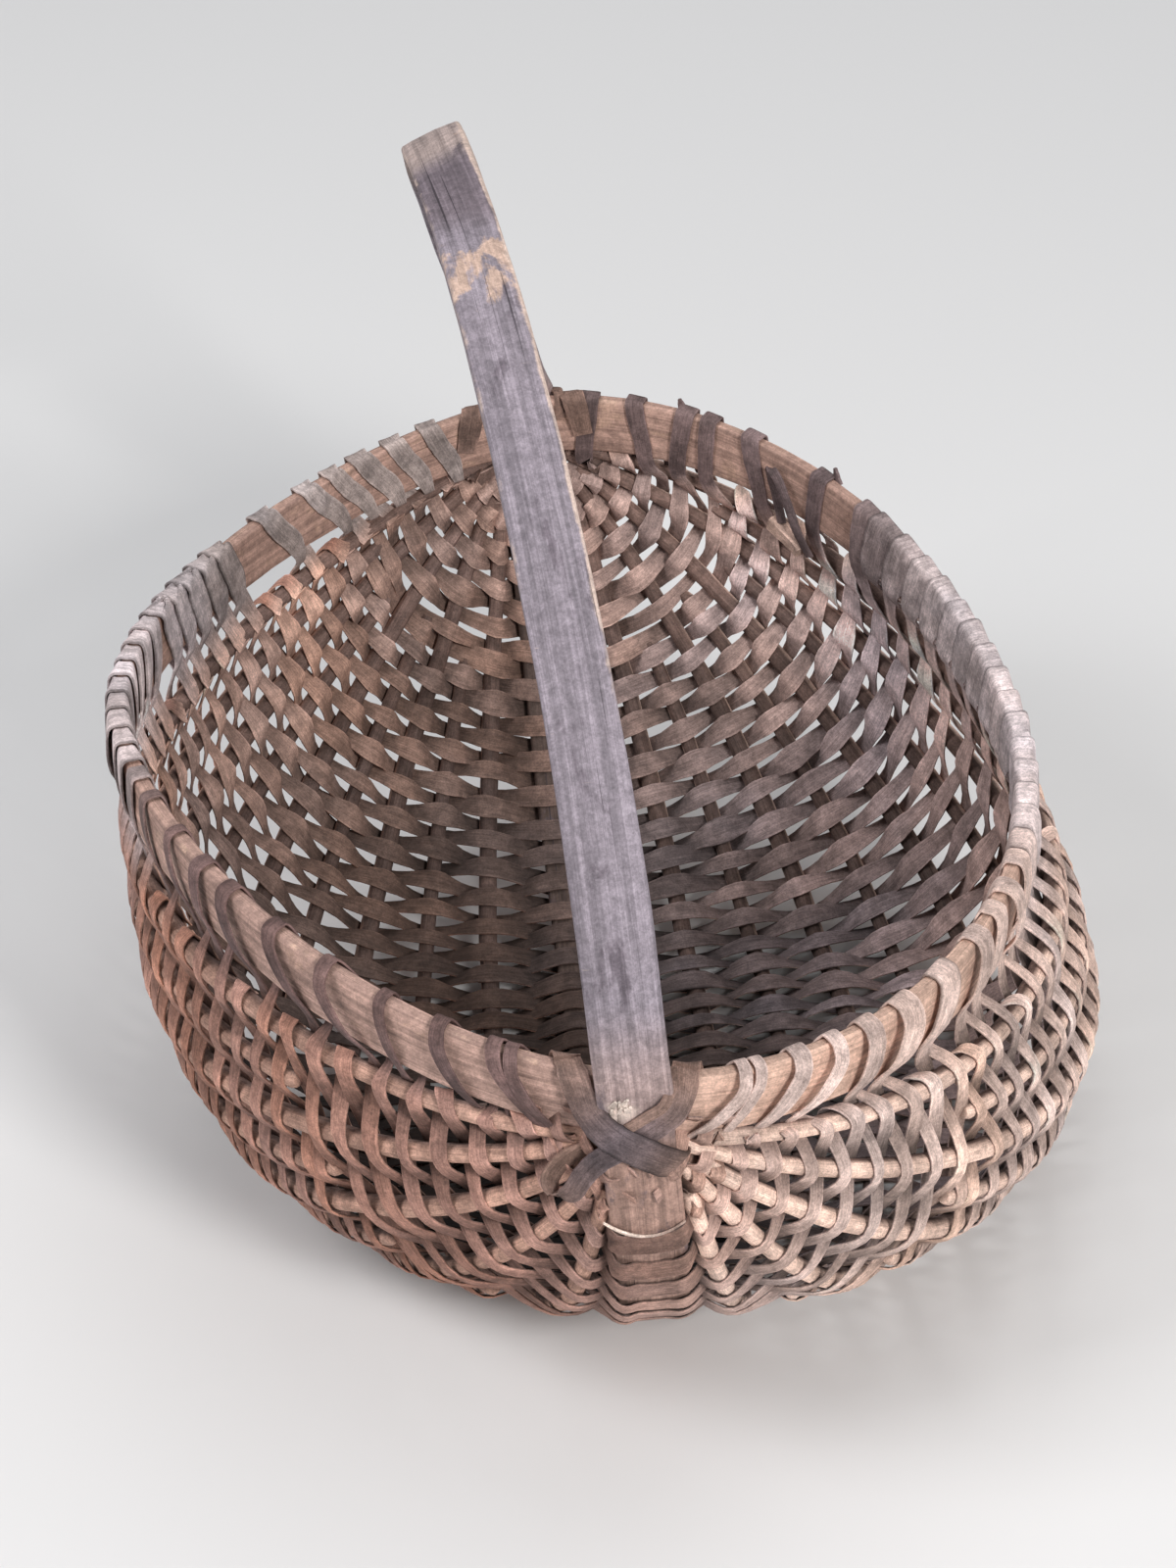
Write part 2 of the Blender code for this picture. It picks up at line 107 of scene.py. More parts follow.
# Weaving as it shows: closer rows than the CAD part has
ROWS = 80
EAR_WEAVERS = 1           # splits at each ear before the first of these rows and after the last
LONG_RIBS = (3, 7)
LONG_RIB_ROW = -2
MIDDLE_RIB_ROW = -1
SHORT_RIB_ROWS = (15, 9)  # rows from the near and the far end at which the short ribs begin
RIB_PAST = 0.45           # share of its first angle by which a rib goes on into the ear
RIB_END = 0.012           # share of its length by which it passes the last row that crosses it
MAIN_RIB_THICK = 0.0068
SHORT_RIB_THICK = 0.0056
RIB_STEPS = 150
RIB_SIDES = 12
INSIDE_WIDES = (0.0064, 0.0082)   # a split inside a rib, close to the near ear and further on
OUTSIDE_WIDES = (0.0055, 0.0056)  # and where it is pinched over a rib outside
SPLIT_THICK = 0.0009
SPLIT_DIVE = 0.10         # share of its width that a split hides where it dives between ribs
SPLIT_ROLL = 0.20         # how far every split is turned so that it laps over the next one, in radians
SPLIT_CUP = 0.00025       # how far its middle bows out of flat
SAMPLES = 6               # steps of a split between one rib and the next
EDGE_THICK = 0.62         # share of a split's thickness that its edges have
EDGE_RAGGED = 0.035       # how far its edges stray, as a share of half its width
ROW_LAG = 0.03            # share by which a row at the spine stands nearer the middle than at the rim
ROW_JITTER = 0.20         # how far a split strays at a crossing, in rows
SPINE_SPLIT_WIDE = 0.0092
SPINE_RISE = 0.0055       # how far nearer the ear a split stands at the spine's edges than on its middle
SPINE_STOPS = (-1.0, -0.35, 0.35, 1.0)
EAR_REACHES = (0.019, 0.0245, 0.030)
EAR_STRAND_WIDE = 0.0048
EAR_STRAND_KNOTS = 9
EDGE_KNOTS = 13           # points of the broken edge on the spine's first wrap
EAR_STRAND_STAND = 0.0016
EAR_STRAND_WEAVE = 0.0034

# Wraps over the rim: the rows at which one lies over its top, and the crowded stretch between them
WRAP_ROWS = {LEFT: (-0.9, 1.6, 2.5, 5.4, 8.6, 12.2, 16.1, 19.8, 22.4, 25.5, 29.0,
                    64.2, 67.9, 70.2, 72.2, 74.7, 77.1, 78.6),
             RIGHT: (1.2, 2.2, 4.6, 6.9, 9.4, 11.9, 15.7, 19.8, 22.5, 24.9, 27.5,
                     63.3, 68.9, 71.7, 73.4, 76.6, 79.5, 81.6)}
CROWDED_ROWS = {LEFT: (31.5, 61.5), RIGHT: (29.5, 60.5)}
DENSE_STEP = 2.0          # rows between crowded wraps
WRAP_WIDE = 0.0052
RIGHT_WRAP_WIDE = 0.0090
FAR_WRAP_WIDE = {LEFT: 0.0073, RIGHT: 0.0072}
DENSE_WRAP_WIDE = 0.0128
WRAP_SLACK = {LEFT: 0.0028, RIGHT: 0.0044}  # most that a wrap near the ear stands off the rim
TIGHT_SLACK = 0.0010
NEAR_FOOT_SHIFT = {LEFT: 2.1, RIGHT: 1.9}
FAR_FOOT_SHIFT = {LEFT: 3.0, RIGHT: 0.4}
FOOT_ROWS = 0.4           # rows from the middle of a turn to each foot of its wrap
TURN_SPREAD = 0.4         # rows between the feet of one wrap and of the next on the same turn
LONG_FEET_ROW = 60.0      # from here on the inner feet of the right wraps lie long on the weaving

# Lashings and what has come loose
LASH_OUT = 0.0195
LASH_STAND = RIM_THICK / 2 + 0.0012
LASH_TOP = RIM_TALL / 2 + 0.0008
STRAP_THICK = 0.0012
# A strap's places over the rim: further along it, outward, above its top, and how wide the strap is
STRAP_ON_RIM = ((0.005, -LASH_STAND, -0.014, 0.007), (0.003, -LASH_STAND, -0.005, 0.008),
                (0.0015, -LASH_STAND * 0.8, 0.0, 0.0084), (0.0, 0.0, 0.0008, 0.0088),
                (-0.0016, LASH_STAND + 0.0008, -0.001, 0.0092))
# And on the handle's outer face: across, outward and up from the ear's middle, and how wide
OVER_ON_FACE = ((-0.0152, -0.0022, 0.0055, 0.0096), (-0.0116, 0.0012, 0.0006, 0.0100),
                (-0.0070, 0.0026, -0.0040, 0.0108), (0.0003, 0.0030, -0.0095, 0.0114),
                (0.0077, 0.0020, -0.0150, 0.0116), (0.0120, 0.0002, -0.0182, 0.0110),
                (0.0134, -0.0034, -0.0196, 0.0096), (0.0100, -0.0072, -0.0190, 0.0070))
UNDER_ON_FACE = ((0.0140, -0.0016, 0.0066, 0.0094), (0.0108, 0.0012, 0.0028, 0.0094),
                 (0.0050, 0.0013, -0.0020, 0.0092), (-0.0060, 0.0012, -0.0100, 0.0088),
                 (-0.0115, 0.0006, -0.0140, 0.0084), (-0.0160, 0.0004, -0.0190, 0.0078),
                 (-0.0205, 0.0022, -0.0245, 0.0074), (-0.0242, 0.0004, -0.0262, 0.0070),
                 (-0.0262, -0.0030, -0.0225, 0.0066), (-0.0225, -0.0046, -0.0175, 0.0062),
                 (-0.0150, -0.0066, -0.0140, 0.0056))
OVER_WAY = (0.72, 0.0, 0.70)
OVER_LOW_WAY = (0.6, 0.0, 0.8)
UNDER_WAY = (0.70, 0.0, -0.72)
SPLINTERS = 14
HANDLE_BANK = 0.42        # how far the grip is turned about its own run, right edge up, in radians

# Camera, fitted to the rim, the handle and the outline in the photograph
CAMERA_ELEVATION = radians(36.0)
CAMERA_YAW = radians(4.023)
CAMERA_ROLL = radians(-2.1)
CAMERA_DISTANCE = 1.600
SENSOR = 36.0
LENS_SHARE = 3.055        # focal length over the sensor's width
LENS_SHIFT = (13.2 / 1600.0, -47.7 / 1600.0)
FLOOR_SIZE = 6.0
FLOOR_COLOUR = (0.72, 0.715, 0.71)


def linear(*colour):
    """Linear colour for one written in 0 to 255."""
    shares = [value / 255.0 for value in colour]
    return np.array([share / 12.92 if share <= 0.04045 else ((share + 0.055) / 1.055) ** 2.4
                     for share in shares])


# Colours, as they look in plain daylight; some also hold painted light and shade, as noted
# Inside of the weaving: the dark low colours are partly dirt and partly painted shade; the high colours,
# and the lighter right side, are partly painted light
INNER_LOW = {LEFT: linear(22, 17, 16), RIGHT: linear(128, 110, 108)}
INNER_HIGH = {LEFT: linear(212, 172, 154), RIGHT: linear(246, 216, 210)}
# Outside of the weaving: paler on the right, painted light from the right
OUTER = {LEFT: linear(196, 146, 128), RIGHT: linear(246, 212, 196)}
OUTER_CREST = 0.95
SHADE_BEHIND_OUTER = 0.20       # painted shade: how dark the outer face is where a split lies behind a rib
SHADE_BEHIND_INNER = 0.52       # and the painted shade on the inner face
DIVE_SHADE = 0.14         # painted shade: how much darker a split is between two ribs
EDGE_HIGHLIGHT = 0.20          # painted highlight: how much paler a split's edges are
EDGE_LAP_SHADE = -0.55         # and painted shade on the edges of one wider than WIDE_BAND, where crowded wraps lap
WIDE_BAND = 0.0098
WRAP_GREY = linear(234, 216, 214)
WRAP_NEAR = {LEFT: linear(112, 88, 84), RIGHT: linear(220, 192, 180)}
WRAP_FAR = {LEFT: linear(182, 166, 160), RIGHT: linear(122, 102, 100)}
# Ribs' outer faces: paler on the right, painted light from the right
RIB_OUTER = {LEFT: linear(190, 150, 132), RIGHT: linear(240, 206, 188)}
RIB_INNER = linear(112, 90, 82)
LASH_GREY = linear(106, 92, 94)
LASH_BROWN = linear(140, 112, 100)
BREAK_PALE = linear(240, 218, 204)
BROKEN_WOOD = linear(196, 164, 148)
HANDLE_BARE = linear(190, 163, 148)
HANDLE_GREY = linear(138, 129, 137)
HANDLE_BROWN = linear(158, 128, 116)
HANDLE_SHADE = linear(112, 100, 106)
HANDLE_FOOT = linear(172, 148, 142)
SPINE_INNER = linear(78, 64, 58)
HANDLE_PALE = linear(184, 164, 156)
HANDLE_DARK = linear(92, 82, 90)
HANDLE_WORN = linear(218, 194, 180)
RIM_BARE_WOOD = linear(188, 154, 136)
RIM_GREY = linear(182, 148, 134)
RIM_NEAR = {LEFT: linear(178, 146, 134), RIGHT: linear(206, 172, 154)}
RIM_DARK = linear(98, 78, 72)
RIM_WORN = linear(214, 182, 160)

chance = random.Random(41)


def mix(a, b, share):
    return a + (b - a) * share


def ramp(value, low, high):
    """Smooth step from 0 at low to 1 at high."""
    share = min(max((value - low) / (high - low), 0.0), 1.0)
    return share * share * (3.0 - 2.0 * share)


def hump(value, start, full, fade, end):
    """Smooth rise from 0 at start to 1 at full, and fall from there at fade to 0 at end."""
    return ramp(value, start, full) * (1.0 - ramp(value, fade, end))


def across_mix(pair, share):
    """Mix of a left and a right value, at a share of the way to the right."""
    return mix(pair[LEFT], pair[RIGHT], share)


def wander(x, y, seed):
    """Smooth noise of about -1 to 1."""
    return noise.noise((x, y, seed * 7.31)) * 1.6


def unit(vector):
    return vector / (np.linalg.norm(vector) + 1e-12)


def power_wave(value, power):
    return copysign(abs(value) ** (2.0 / power), value)


def rim_lift(x, y):
    across = x / (RIM_WIDTH / 2)
    along = y / (RIM_LENGTH / 2)
    lift = TILT_ACROSS * across + TILT_ALONG * along
    lift += SADDLE * (across ** 2 - along ** 2) + TWIST * 2 * across * along
    lift += WAVE_ACROSS * (4 * across ** 3 - 3 * across)
    lift += WAVE_ALONG * (3 * along - 4 * along ** 3)
    return lift


def wall_point(phi, theta, side):
    """Middle of the wall: phi from ear to ear, theta from the rim (0) to the spine (90 degrees)."""
    lowness = sin(theta) ** 2
    power = RIM_POWER + (LOBE_POWER - RIM_POWER) * lowness + (SPINE_POWER - LOBE_POWER) * lowness ** 4
    along = power_wave(cos(phi), power)
    across = power_wave(sin(phi), power)
    lobe = sin(2 * theta) ** 2
    swell = 1.0 + LOBE_SWELL[side] * lobe
    drop = 1.0 + LOBE_DROP[side] * lobe
    x = side * RIM_WIDTH / 2 * cos(theta) * swell * across
    y = -(RIM_LENGTH / 2 + HOOP_SHIFT * lowness) * along
    depth = min(BODY_DEPTH * sin(theta) * drop * across, LOBE_DEPTH)
    share = min(depth / BODY_DEPTH, 1.0)
    z = rim_lift(x, y) * (1.0 - share) - depth
    return Vector((x + BODY_SWAY * sin(share * pi / 2), y, z)) + RIM_MIDDLE


def wall_out(place):
    """Rough outward direction of the wall at a place."""
    out = Vector(((place[0] - RIM_MIDDLE.x) / 0.15, place[1] / 0.19, (place[2] - RIM_MIDDLE.z) / 0.16))
    return out.normalized()


def arch_point(s):
    """Middle of the handle strip above the rim, from the near ear (0) to the far ear (pi)."""
    rise = power_wave(sin(s), HANDLE_POWER)
    y = -(RIM_LENGTH / 2 + HOOP_SHIFT) * power_wave(cos(s), HANDLE_POWER)
    z = rim_lift(0.0, y) * (1.0 - rise) + HANDLE_RISE * rise
    x = -HANDLE_LEAN * (rise ** LEAN_POWER - LEAN_SKEW * rise * cos(s))
    return Vector((x, y, z)) + RIM_MIDDLE


def rim_curve(side):
    return lambda phi: wall_point(phi, 0.0, side)


def spine_curve(phi):
    return wall_point(phi, pi / 2, RIGHT)


def rib_point(phi, number, side):
    """Middle of a rib, which shares the wall evenly with the others."""
    thetas = [pi / 2 * k / SECTION_STEPS for k in range(SECTION_STEPS + 1)]
    points = [wall_point(phi, theta, side) for theta in thetas]
    run = [0.0]
    for a, b in zip(points, points[1:]):
        run.append(run[-1] + (b - a).length)
    free = run[-1] - RIM_TALL / 2 - HANDLE_WIDE / 2
    distance = RIM_TALL / 2 + free * number / (RIB_COUNT + 1)
    k = max(i for i in range(SECTION_STEPS) if run[i] <= distance)
    return points[k].lerp(points[k + 1], (distance - run[k]) / (run[k + 1] - run[k]))


def angle_after(curve, distance):
    """Angle at which a curve has run a distance from the near ear."""
    step = pi / 2 / CURVE_STEPS
    run = 0.0
    phi = 0.0
    last = curve(phi)
    while True:
        here = curve(phi + step)
        stretch = (here - last).length
        if run + stretch >= distance:
            return phi + step * (distance - run) / stretch
        run += stretch
        phi += step
        last = here


class Track:
    """A curve by the share of its woven length; it goes on past 0 and 1 by a part of its first angle."""

    LEAD_STEPS = 8
    REACH = 0.002

    def __init__(self, curve, start, end, steps=CURVE_STEPS, past=0.0):
        lead = np.linspace(start * (1.0 - past), start, self.LEAD_STEPS + 1)[:-1]
        angles = np.concatenate((lead, np.linspace(start, end, steps + 1), pi - lead[::-1]))
        self.points = np.array([curve(angle) for angle in angles])
        run = np.concatenate(([0.0], np.cumsum(np.linalg.norm(np.diff(self.points, axis=0), axis=1))))
        first = run[len(lead)]
        self.length = run[len(lead) + steps] - first
        self.share = (run - first) / self.length

    def place(self, share):
        return Vector([float(np.interp(share, self.share, self.points[:, k])) for k in range(3)])

    def at(self, share):
        share = min(max(share, self.share[0] + self.REACH), self.share[-1] - self.REACH)
        way = self.place(share + self.REACH) - self.place(share - self.REACH)
        return self.place(share), way.normalized()


RIM_START = {side: angle_after(rim_curve(side), RIM_BARE) for side in SIDES}
SPINE_START = angle_after(spine_curve, SPINE_BARE)
RIM_TRACK = {side: Track(rim_curve(side), RIM_START[side], pi - RIM_START[side], past=0.9)
             for side in SIDES}
SPINE_TRACK = Track(spine_curve, SPINE_START, pi - SPINE_START, past=0.8)


def rib_track(number, side):
    start = mix(RIM_START[side], SPINE_START, number / (RIB_COUNT + 1))
    return Track(lambda phi: rib_point(phi, number, side), start, pi - start, 90, RIB_PAST)


RIB_TRACK = {(number, side): rib_track(number, side)
             for number in range(1, RIB_COUNT + 1) for side in SIDES}


def rib_rows(number):
    """First and last row that cross a rib."""
    if number in LONG_RIBS:
        return LONG_RIB_ROW, ROWS - 1 - LONG_RIB_ROW
    if number % 2 == 1:
        return MIDDLE_RIB_ROW, ROWS - 1 - MIDDLE_RIB_ROW
    return SHORT_RIB_ROWS[0] + number // 2 % 2, ROWS - SHORT_RIB_ROWS[1] + number // 2 % 2


def rib_radius(share, number):
    """Half a rib's thickness at a share of its woven length, a little thinner at its blunt ends."""
    thick = MAIN_RIB_THICK if number % 2 == 1 else SHORT_RIB_THICK
    from_end = min(share, 1.0 - share) / RIB_TAPER_SHARE
    return thick * mix(0.82, 1.0, ramp(from_end, 0.0, 1.0)) / 2


def row_share(row, depth=0.0):
    """Share of a curve's length at which a row crosses it: deeper curves are crossed nearer the middle."""
    share = (row + 0.5) / ROWS
    return share + ROW_LAG * depth * sin(2 * pi * min(max(share, 0.0), 1.0))


def rim_at(side, row):
    """Place on the rim's middle at a row, with the way along and outward there."""
    centre, way = RIM_TRACK[side].at(row_share(row))
    return centre, way, way.cross(UP).normalized() * side


# Materials


class Nodes:
    """Shorthand for building a material's node tree."""

    def __init__(self, name):
        self.material = bpy.data.materials.new(name)
        self.material.use_nodes = True
        self.tree = self.material.node_tree
        self.shader = self.tree.nodes["Principled BSDF"]
        self.put(self.shader, {"Metallic": 0.0, "Specular IOR Level": 0.3})

    def put(self, node, inputs):
        """Gives each input of a node an output to follow, a number, a vector or a colour."""
        for key, value in inputs.items():
            socket = node.inputs[key]
            if isinstance(value, bpy.types.NodeSocket):
                self.tree.links.new(value, socket)
            elif socket.type == "RGBA":
                socket.default_value = (*value, 1.0)
            else:
                socket.default_value = value

    def add(self, kind, output, inputs, **settings):
        node = self.tree.nodes.new(kind)
        for key, value in settings.items():
            setattr(node, key, value)
        self.put(node, inputs)
        return node.outputs[output]

    def attribute(self, name, output):
        return self.add("ShaderNodeAttribute", output, {}, attribute_name=name)

    def place(self):
        return self.add("ShaderNodeTexCoord", "Object", {})

    def noise(self, vector, scale, detail, rough, distortion=0.0):
        """Noise over a vector, with one scale or with one for each of its axes."""
        if isinstance(scale, tuple):
            vector = self.add("ShaderNodeVectorMath", "Vector", {0: vector, 1: scale}, operation="MULTIPLY")
            scale = 1.0
        inputs = {"Vector": vector, "Scale": scale, "Detail": detail, "Roughness": rough,
                  "Distortion": distortion}
        return self.add("ShaderNodeTexNoise", "Fac", inputs)

    def span(self, value, low, high, to_low=0.0, to_high=1.0):
        """Smooth step of a value from one span to another."""
        inputs = {"Value": value, "From Min": low, "From Max": high, "To Min": to_low, "To Max": to_high}
        return self.add("ShaderNodeMapRange", "Result", inputs, clamp=True, interpolation_type="SMOOTHSTEP")

    def math(self, operation, a, b):
        return self.add("ShaderNodeMath", "Value", {0: a, 1: b}, operation=operation)

    def blend(self, factor, a, b, mode="MIX"):
        return self.add("ShaderNodeMix", 2, {0: factor, 6: a, 7: b}, data_type="RGBA", blend_type=mode)

    def vary(self, shade, *levels):
        """Colour multiplied by what span makes of each value."""
        for level in levels:
            shade = self.blend(1.0, shade, self.span(*level), "MULTIPLY")
        return shade

    def cover(self, shade, colour, value, low, high, most=1.0):
        """Colour that gives way to another as a value goes from low to high."""
        return self.blend(self.span(value, low, high, 0.0, most), shade, colour)

    def spread(self, value, fine, strength):
        """Value made uneven by a noise."""
        return self.math("ADD", value, self.math("MULTIPLY", self.math("SUBTRACT", fine, 0.5), strength))

    def finish(self, shade, rough, height, strength, distance):
        """Puts a colour, a roughness and a raised grain on the shader."""
        normal = self.add("ShaderNodeBump", "Normal",
                          {"Height": height, "Strength": strength, "Distance": distance})
        self.put(self.shader, {"Base Color": shade, "Roughness": rough, "Normal": normal})
        return self.material


def split_material(name, fibre=1.0, dirt=1.0):
    """Weathered split wood: fibres along the strip, raised grain, dirt in patches; its tint brings painted
    light and shade, with painted highlights on the edges.
    """
    n = Nodes(name)
    grain = n.attribute("grain", "Vector")
    place = n.place()
    fibres = n.noise(grain, (110.0, 2600.0, 9.0), 4.0, 0.62, 0.5)
    streaks = n.noise(grain, (42.0, 620.0, 5.0), 4.0, 0.6, 0.7)
    mottle = n.noise(place, 210.0, 4.0, 0.66, 0.4)
    patches = n.noise(place, 50.0, 4.0, 0.62)
    bleach = n.noise(place, 19.0, 3.0, 0.6)
    specks = n.noise(place, 520.0, 2.0, 0.6)
    grit = n.noise(place, 1500.0, 3.0, 0.7)
    shade = n.vary(n.attribute("tint", "Color"), (fibres, 0.25, 0.8, 0.70, 1.26),
                   (streaks, 0.3, 0.72, 0.88, 1.12), (mottle, 0.34, 0.68, 0.74, 1.2),
                   (patches, 0.32, 0.7, 1.0 - 0.30 * dirt, 1.2), (grit, 0.3, 0.7, 0.76, 1.2))
    cool = n.blend(1.0, shade, (1.0, 1.04, 1.08), "MULTIPLY")
    shade = n.cover(shade, cool, bleach, 0.46, 0.66)
    shade = n.cover(shade, (0.028, 0.02, 0.018), specks, 0.63, 0.76, 0.35)
    height = n.math("ADD", n.math("MULTIPLY", fibres, 0.7), n.math("MULTIPLY", streaks, 0.4))
    return n.finish(shade, n.span(streaks, 0.3, 0.7, 0.92, 0.7), height, 0.5 * fibre, 0.0003)


def hoop_material(name, bare, dark, worn, cracks=1.0):
    """Old hoop wood: long grain, dark checks, grey weather, stains, and patches worn back to bare wood."""
    n = Nodes(name)
    grain = n.attribute("grain", "Vector")
    place = n.place()
    grit = n.noise(place, 1300.0, 3.0, 0.7)
    mottle = n.noise(place, 300.0, 5.0, 0.7, 0.5)
    fine = n.noise(grain, (34.0, 2100.0, 3.0), 5.0, 0.62, 0.4)
    broad = n.noise(grain, (9.0, 330.0, 2.0), 4.0, 0.6, 0.6)
    cloud = n.noise(grain, (62.0, 105.0, 1.0), 6.0, 0.66, 0.5)
    stain = n.noise(grain, (40.0, 90.0, 7.0), 5.0, 0.64, 0.3)
    checks = n.noise(grain, (8.0, 800.0, 4.0), 2.0, 0.5, 0.2)
    scratches = n.noise(grain, (1500.0, 130.0, 2.0), 2.0, 0.5, 0.6)
    rubbed = n.spread(n.attribute("wear", "Fac"), cloud, 2.6)
    edged = n.spread(n.attribute("edge", "Fac"), cloud, 1.6)
    shade = n.vary(n.attribute("tint", "Color"), (broad, 0.33, 0.67, 0.74, 1.24))
    shade = n.cover(shade, bare, rubbed, 0.52, 0.78)
    shade = n.cover(shade, dark, stain, 0.56, 0.66, 0.7 * cracks)
    shade = n.cover(shade, worn, edged, 0.55, 0.95, 0.85)
    shade = n.vary(shade, (fine, 0.22, 0.8, 0.76, 1.2), (mottle, 0.3, 0.7, 0.76, 1.22),
                   (grit, 0.3, 0.7, 0.84, 1.14))
    shade = n.cover(shade, dark * 0.3, checks, 0.33, 0.27, 0.8 * cracks)
    shade = n.cover(shade, worn, scratches, 0.74, 0.8, 0.35)
    open_checks = n.math("MULTIPLY", n.span(checks, 0.27, 0.33), 0.8)
    height = n.math("ADD", n.math("MULTIPLY", fine, 0.6), open_checks)
    return n.finish(shade, n.span(rubbed, 0.2, 1.0, 0.76, 0.55), height, 0.5, 0.0005)


# Meshes


def add_object(name, data):
    made = bpy.data.objects.new(name, data)
    bpy.context.scene.collection.objects.link(made)
    return made


def add_mesh(name, verts, faces, slot, material, node, **values_of):
    """Piece of the basket that rides on its one body and stands for a CAD node."""
    kinds = {"grain": ("FLOAT_VECTOR", "vector"), "tint": ("FLOAT_COLOR", "color")}
    mesh = bpy.data.meshes.new(name)
    mesh.from_pydata([tuple(v) for v in verts], [], faces)
    for label, values in values_of.items():
        kind, field = kinds.get(label, ("FLOAT", "value"))
        made = mesh.attributes.new(label, kind, "POINT")
        made.data.foreach_set(field, np.asarray(values, dtype=np.float32).ravel())
    mesh.update()
    mesh.shade_smooth()
    mesh.set_sharp_from_angle(angle=SHARP_ANGLE)
    mesh.materials.append(material)
    piece = add_object(name, mesh)
    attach(piece, "root")
    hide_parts(node)


def ring_faces(rings, count, closed):
    """Faces of a tube of rings, each of count points, with capped ends unless it closes on itself."""
    faces = []
    for k in range(rings if closed else rings - 1):
        a = k * count
        b = (k + 1) % rings * count
        faces += [(a + i, a + (i + 1) % count, b + (i + 1) % count, b + i) for i in range(count)]
    if not closed:
        faces += [tuple(reversed(range(count))), tuple(range((rings - 1) * count, rings * count))]
    return faces


def catmull(p0, p1, p2, p3, u):
    return 0.5 * ((2 * p1) + (p2 - p0) * u + (2 * p0 - 5 * p1 + 4 * p2 - p3) * u ** 2
                  + (3 * p1 - p0 - 3 * p2 + p3) * u ** 3)


# What a knot's row of numbers holds
PLACE = slice(0, 3)
WAY = slice(3, 6)
OUT = slice(6, 9)
WIDE, DIVE, ROLL, THICK = range(9, 13)
FRONT = slice(13, 16)
BACK = slice(16, 19)

# Outline of a split's section, as shares of half its width and half its thickness
SPLIT_FACE = (-1.0, -0.8, 0.8, 1.0)
SPLIT_PROFILE = [(a, -1) for a in SPLIT_FACE] + [(a, 1) for a in reversed(SPLIT_FACE)]


def knot(place, way, out, wide, tint, dive=0.0, roll=0.0, thick=SPLIT_THICK, back=None):
    """A point that a split passes through, with the way across it and the front's direction and tint."""
    return np.array((*place, *way, *out, wide, dive, roll, thick, *tint, *(tint if back is None else back)))


def turned(row):
    """The same knot with the split's other face as its front."""
    return knot(row[PLACE], row[WAY], -row[OUT], row[WIDE], row[BACK], row[DIVE], -row[ROLL], row[THICK],
                row[FRONT])


def strip_knots(spots, wide, end_wide, tint, thick, roll=0.0):
    """Knots of a short strip from its places, each with the way across and outward."""
    last = len(spots) - 1
    return [knot(*spot, mix(wide, end_wide, k / last), tint, 0.0, roll, thick)
            for k, spot in enumerate(spots)]


def split_line(knots, samples):
    """Rows of numbers along a split, each with its dive, its roll and how far between ribs it lies."""
    data = [2 * knots[0] - knots[1], *knots, 2 * knots[-1] - knots[-2]]
    line = []
    for k in range(1, len(data) - 2):
        for step in range(samples):
            u = step / samples
            row = catmull(*data[k - 1:k + 3], u)
            row[WIDE:] = mix(data[k], data[k + 1], u * u * (3 - 2 * u))[WIDE:]
            dives = row[DIVE] > 0
            between = sin(pi * u) ** 2 if dives else 0.0
            line.append((row, row[DIVE] * between, row[ROLL] * (between if dives else 1.0), between))
    line.append((data[-2], 0.0, data[-2][ROLL], 0.0))
    return line


def split_mesh(name, knots, seed, slot, node, samples=SAMPLES, cup=SPLIT_CUP, rough=0.07, fold=0.0):
    """A flat split through its knots, narrower and rolled where it dives between ribs."""
    line = split_line(knots, samples)
    verts, grain, tint = [], [], []
    run = 0.0
    for k, (row, depth, roll, between) in enumerate(line):
        place = row[PLACE]
        before = line[max(k - 1, 0)][0][PLACE]
        after = line[min(k + 1, len(line) - 1)][0][PLACE]
        run += float(np.linalg.norm(place - before))
        free = 1.0 if row[DIVE] > 0.5 * SPLIT_DIVE else 0.4
        travel = unit(after - before)
        way = unit(row[WAY] - travel * np.dot(row[WAY], travel))
        face = np.cross(travel, way)
        if np.dot(face, row[OUT]) < 0:
            face = -face
        turn = roll + 0.10 * free * wander(run * 40.0, 3.0, seed)
        flat = way * cos(turn) + face * sin(turn)
        face = face * cos(turn) - way * sin(turn)
        wide = row[WIDE] * (1.0 - depth) * (1.0 + free * rough * wander(run * 130.0, 1.0, seed)
                                            + free * 0.10 * wander(run * 22.0, 2.0, seed))
        bow = cup * wander(run * 30.0, 5.0, seed)
        # Painted shade where a split dives between ribs
        shade = 1.0 - DIVE_SHADE * between
        # Painted highlight on the edges, and painted shade on the edges of wide lapping bands
        edge_tone = mix(EDGE_HIGHLIGHT, EDGE_LAP_SHADE, ramp(row[WIDE], WIDE_BAND * 0.94, WIDE_BAND * 1.06))
        for a, b in SPLIT_PROFILE:
            edge = abs(a) == 1.0
            ragged = 1.0 + (EDGE_RAGGED * wander(run * 420.0, a * 3.0, seed + 3) if edge else 0.0)
            body = row[THICK] / 2 * (EDGE_THICK if edge else 1.0)
            lift = b * body + bow * (1.0 - a * a) - fold * abs(a)
            spot = place + flat * (a * ragged * wide / 2) + face * lift
            spot[2] = max(spot[2], 0.0)
            verts.append(spot)
            grain.append((run, a * wide / 2 + (0.02 if b > 0 else 0.0), seed * 0.37))
            colour = row[FRONT] if b > 0 else row[BACK]
            # Here worn stands for painted shade between ribs and on lapping edges, and a painted highlight
            # on the other edges, not wear
            worn = shade * (1.0 + (edge_tone if edge else -0.03))
            tint.append((*np.clip(colour * worn, 0.0, 1.0), 1.0))
    faces = ring_faces(len(line), len(SPLIT_PROFILE), False)
    add_mesh(name, verts, faces, slot, SPLITS, node, grain=grain, tint=tint)


# Where each split goes

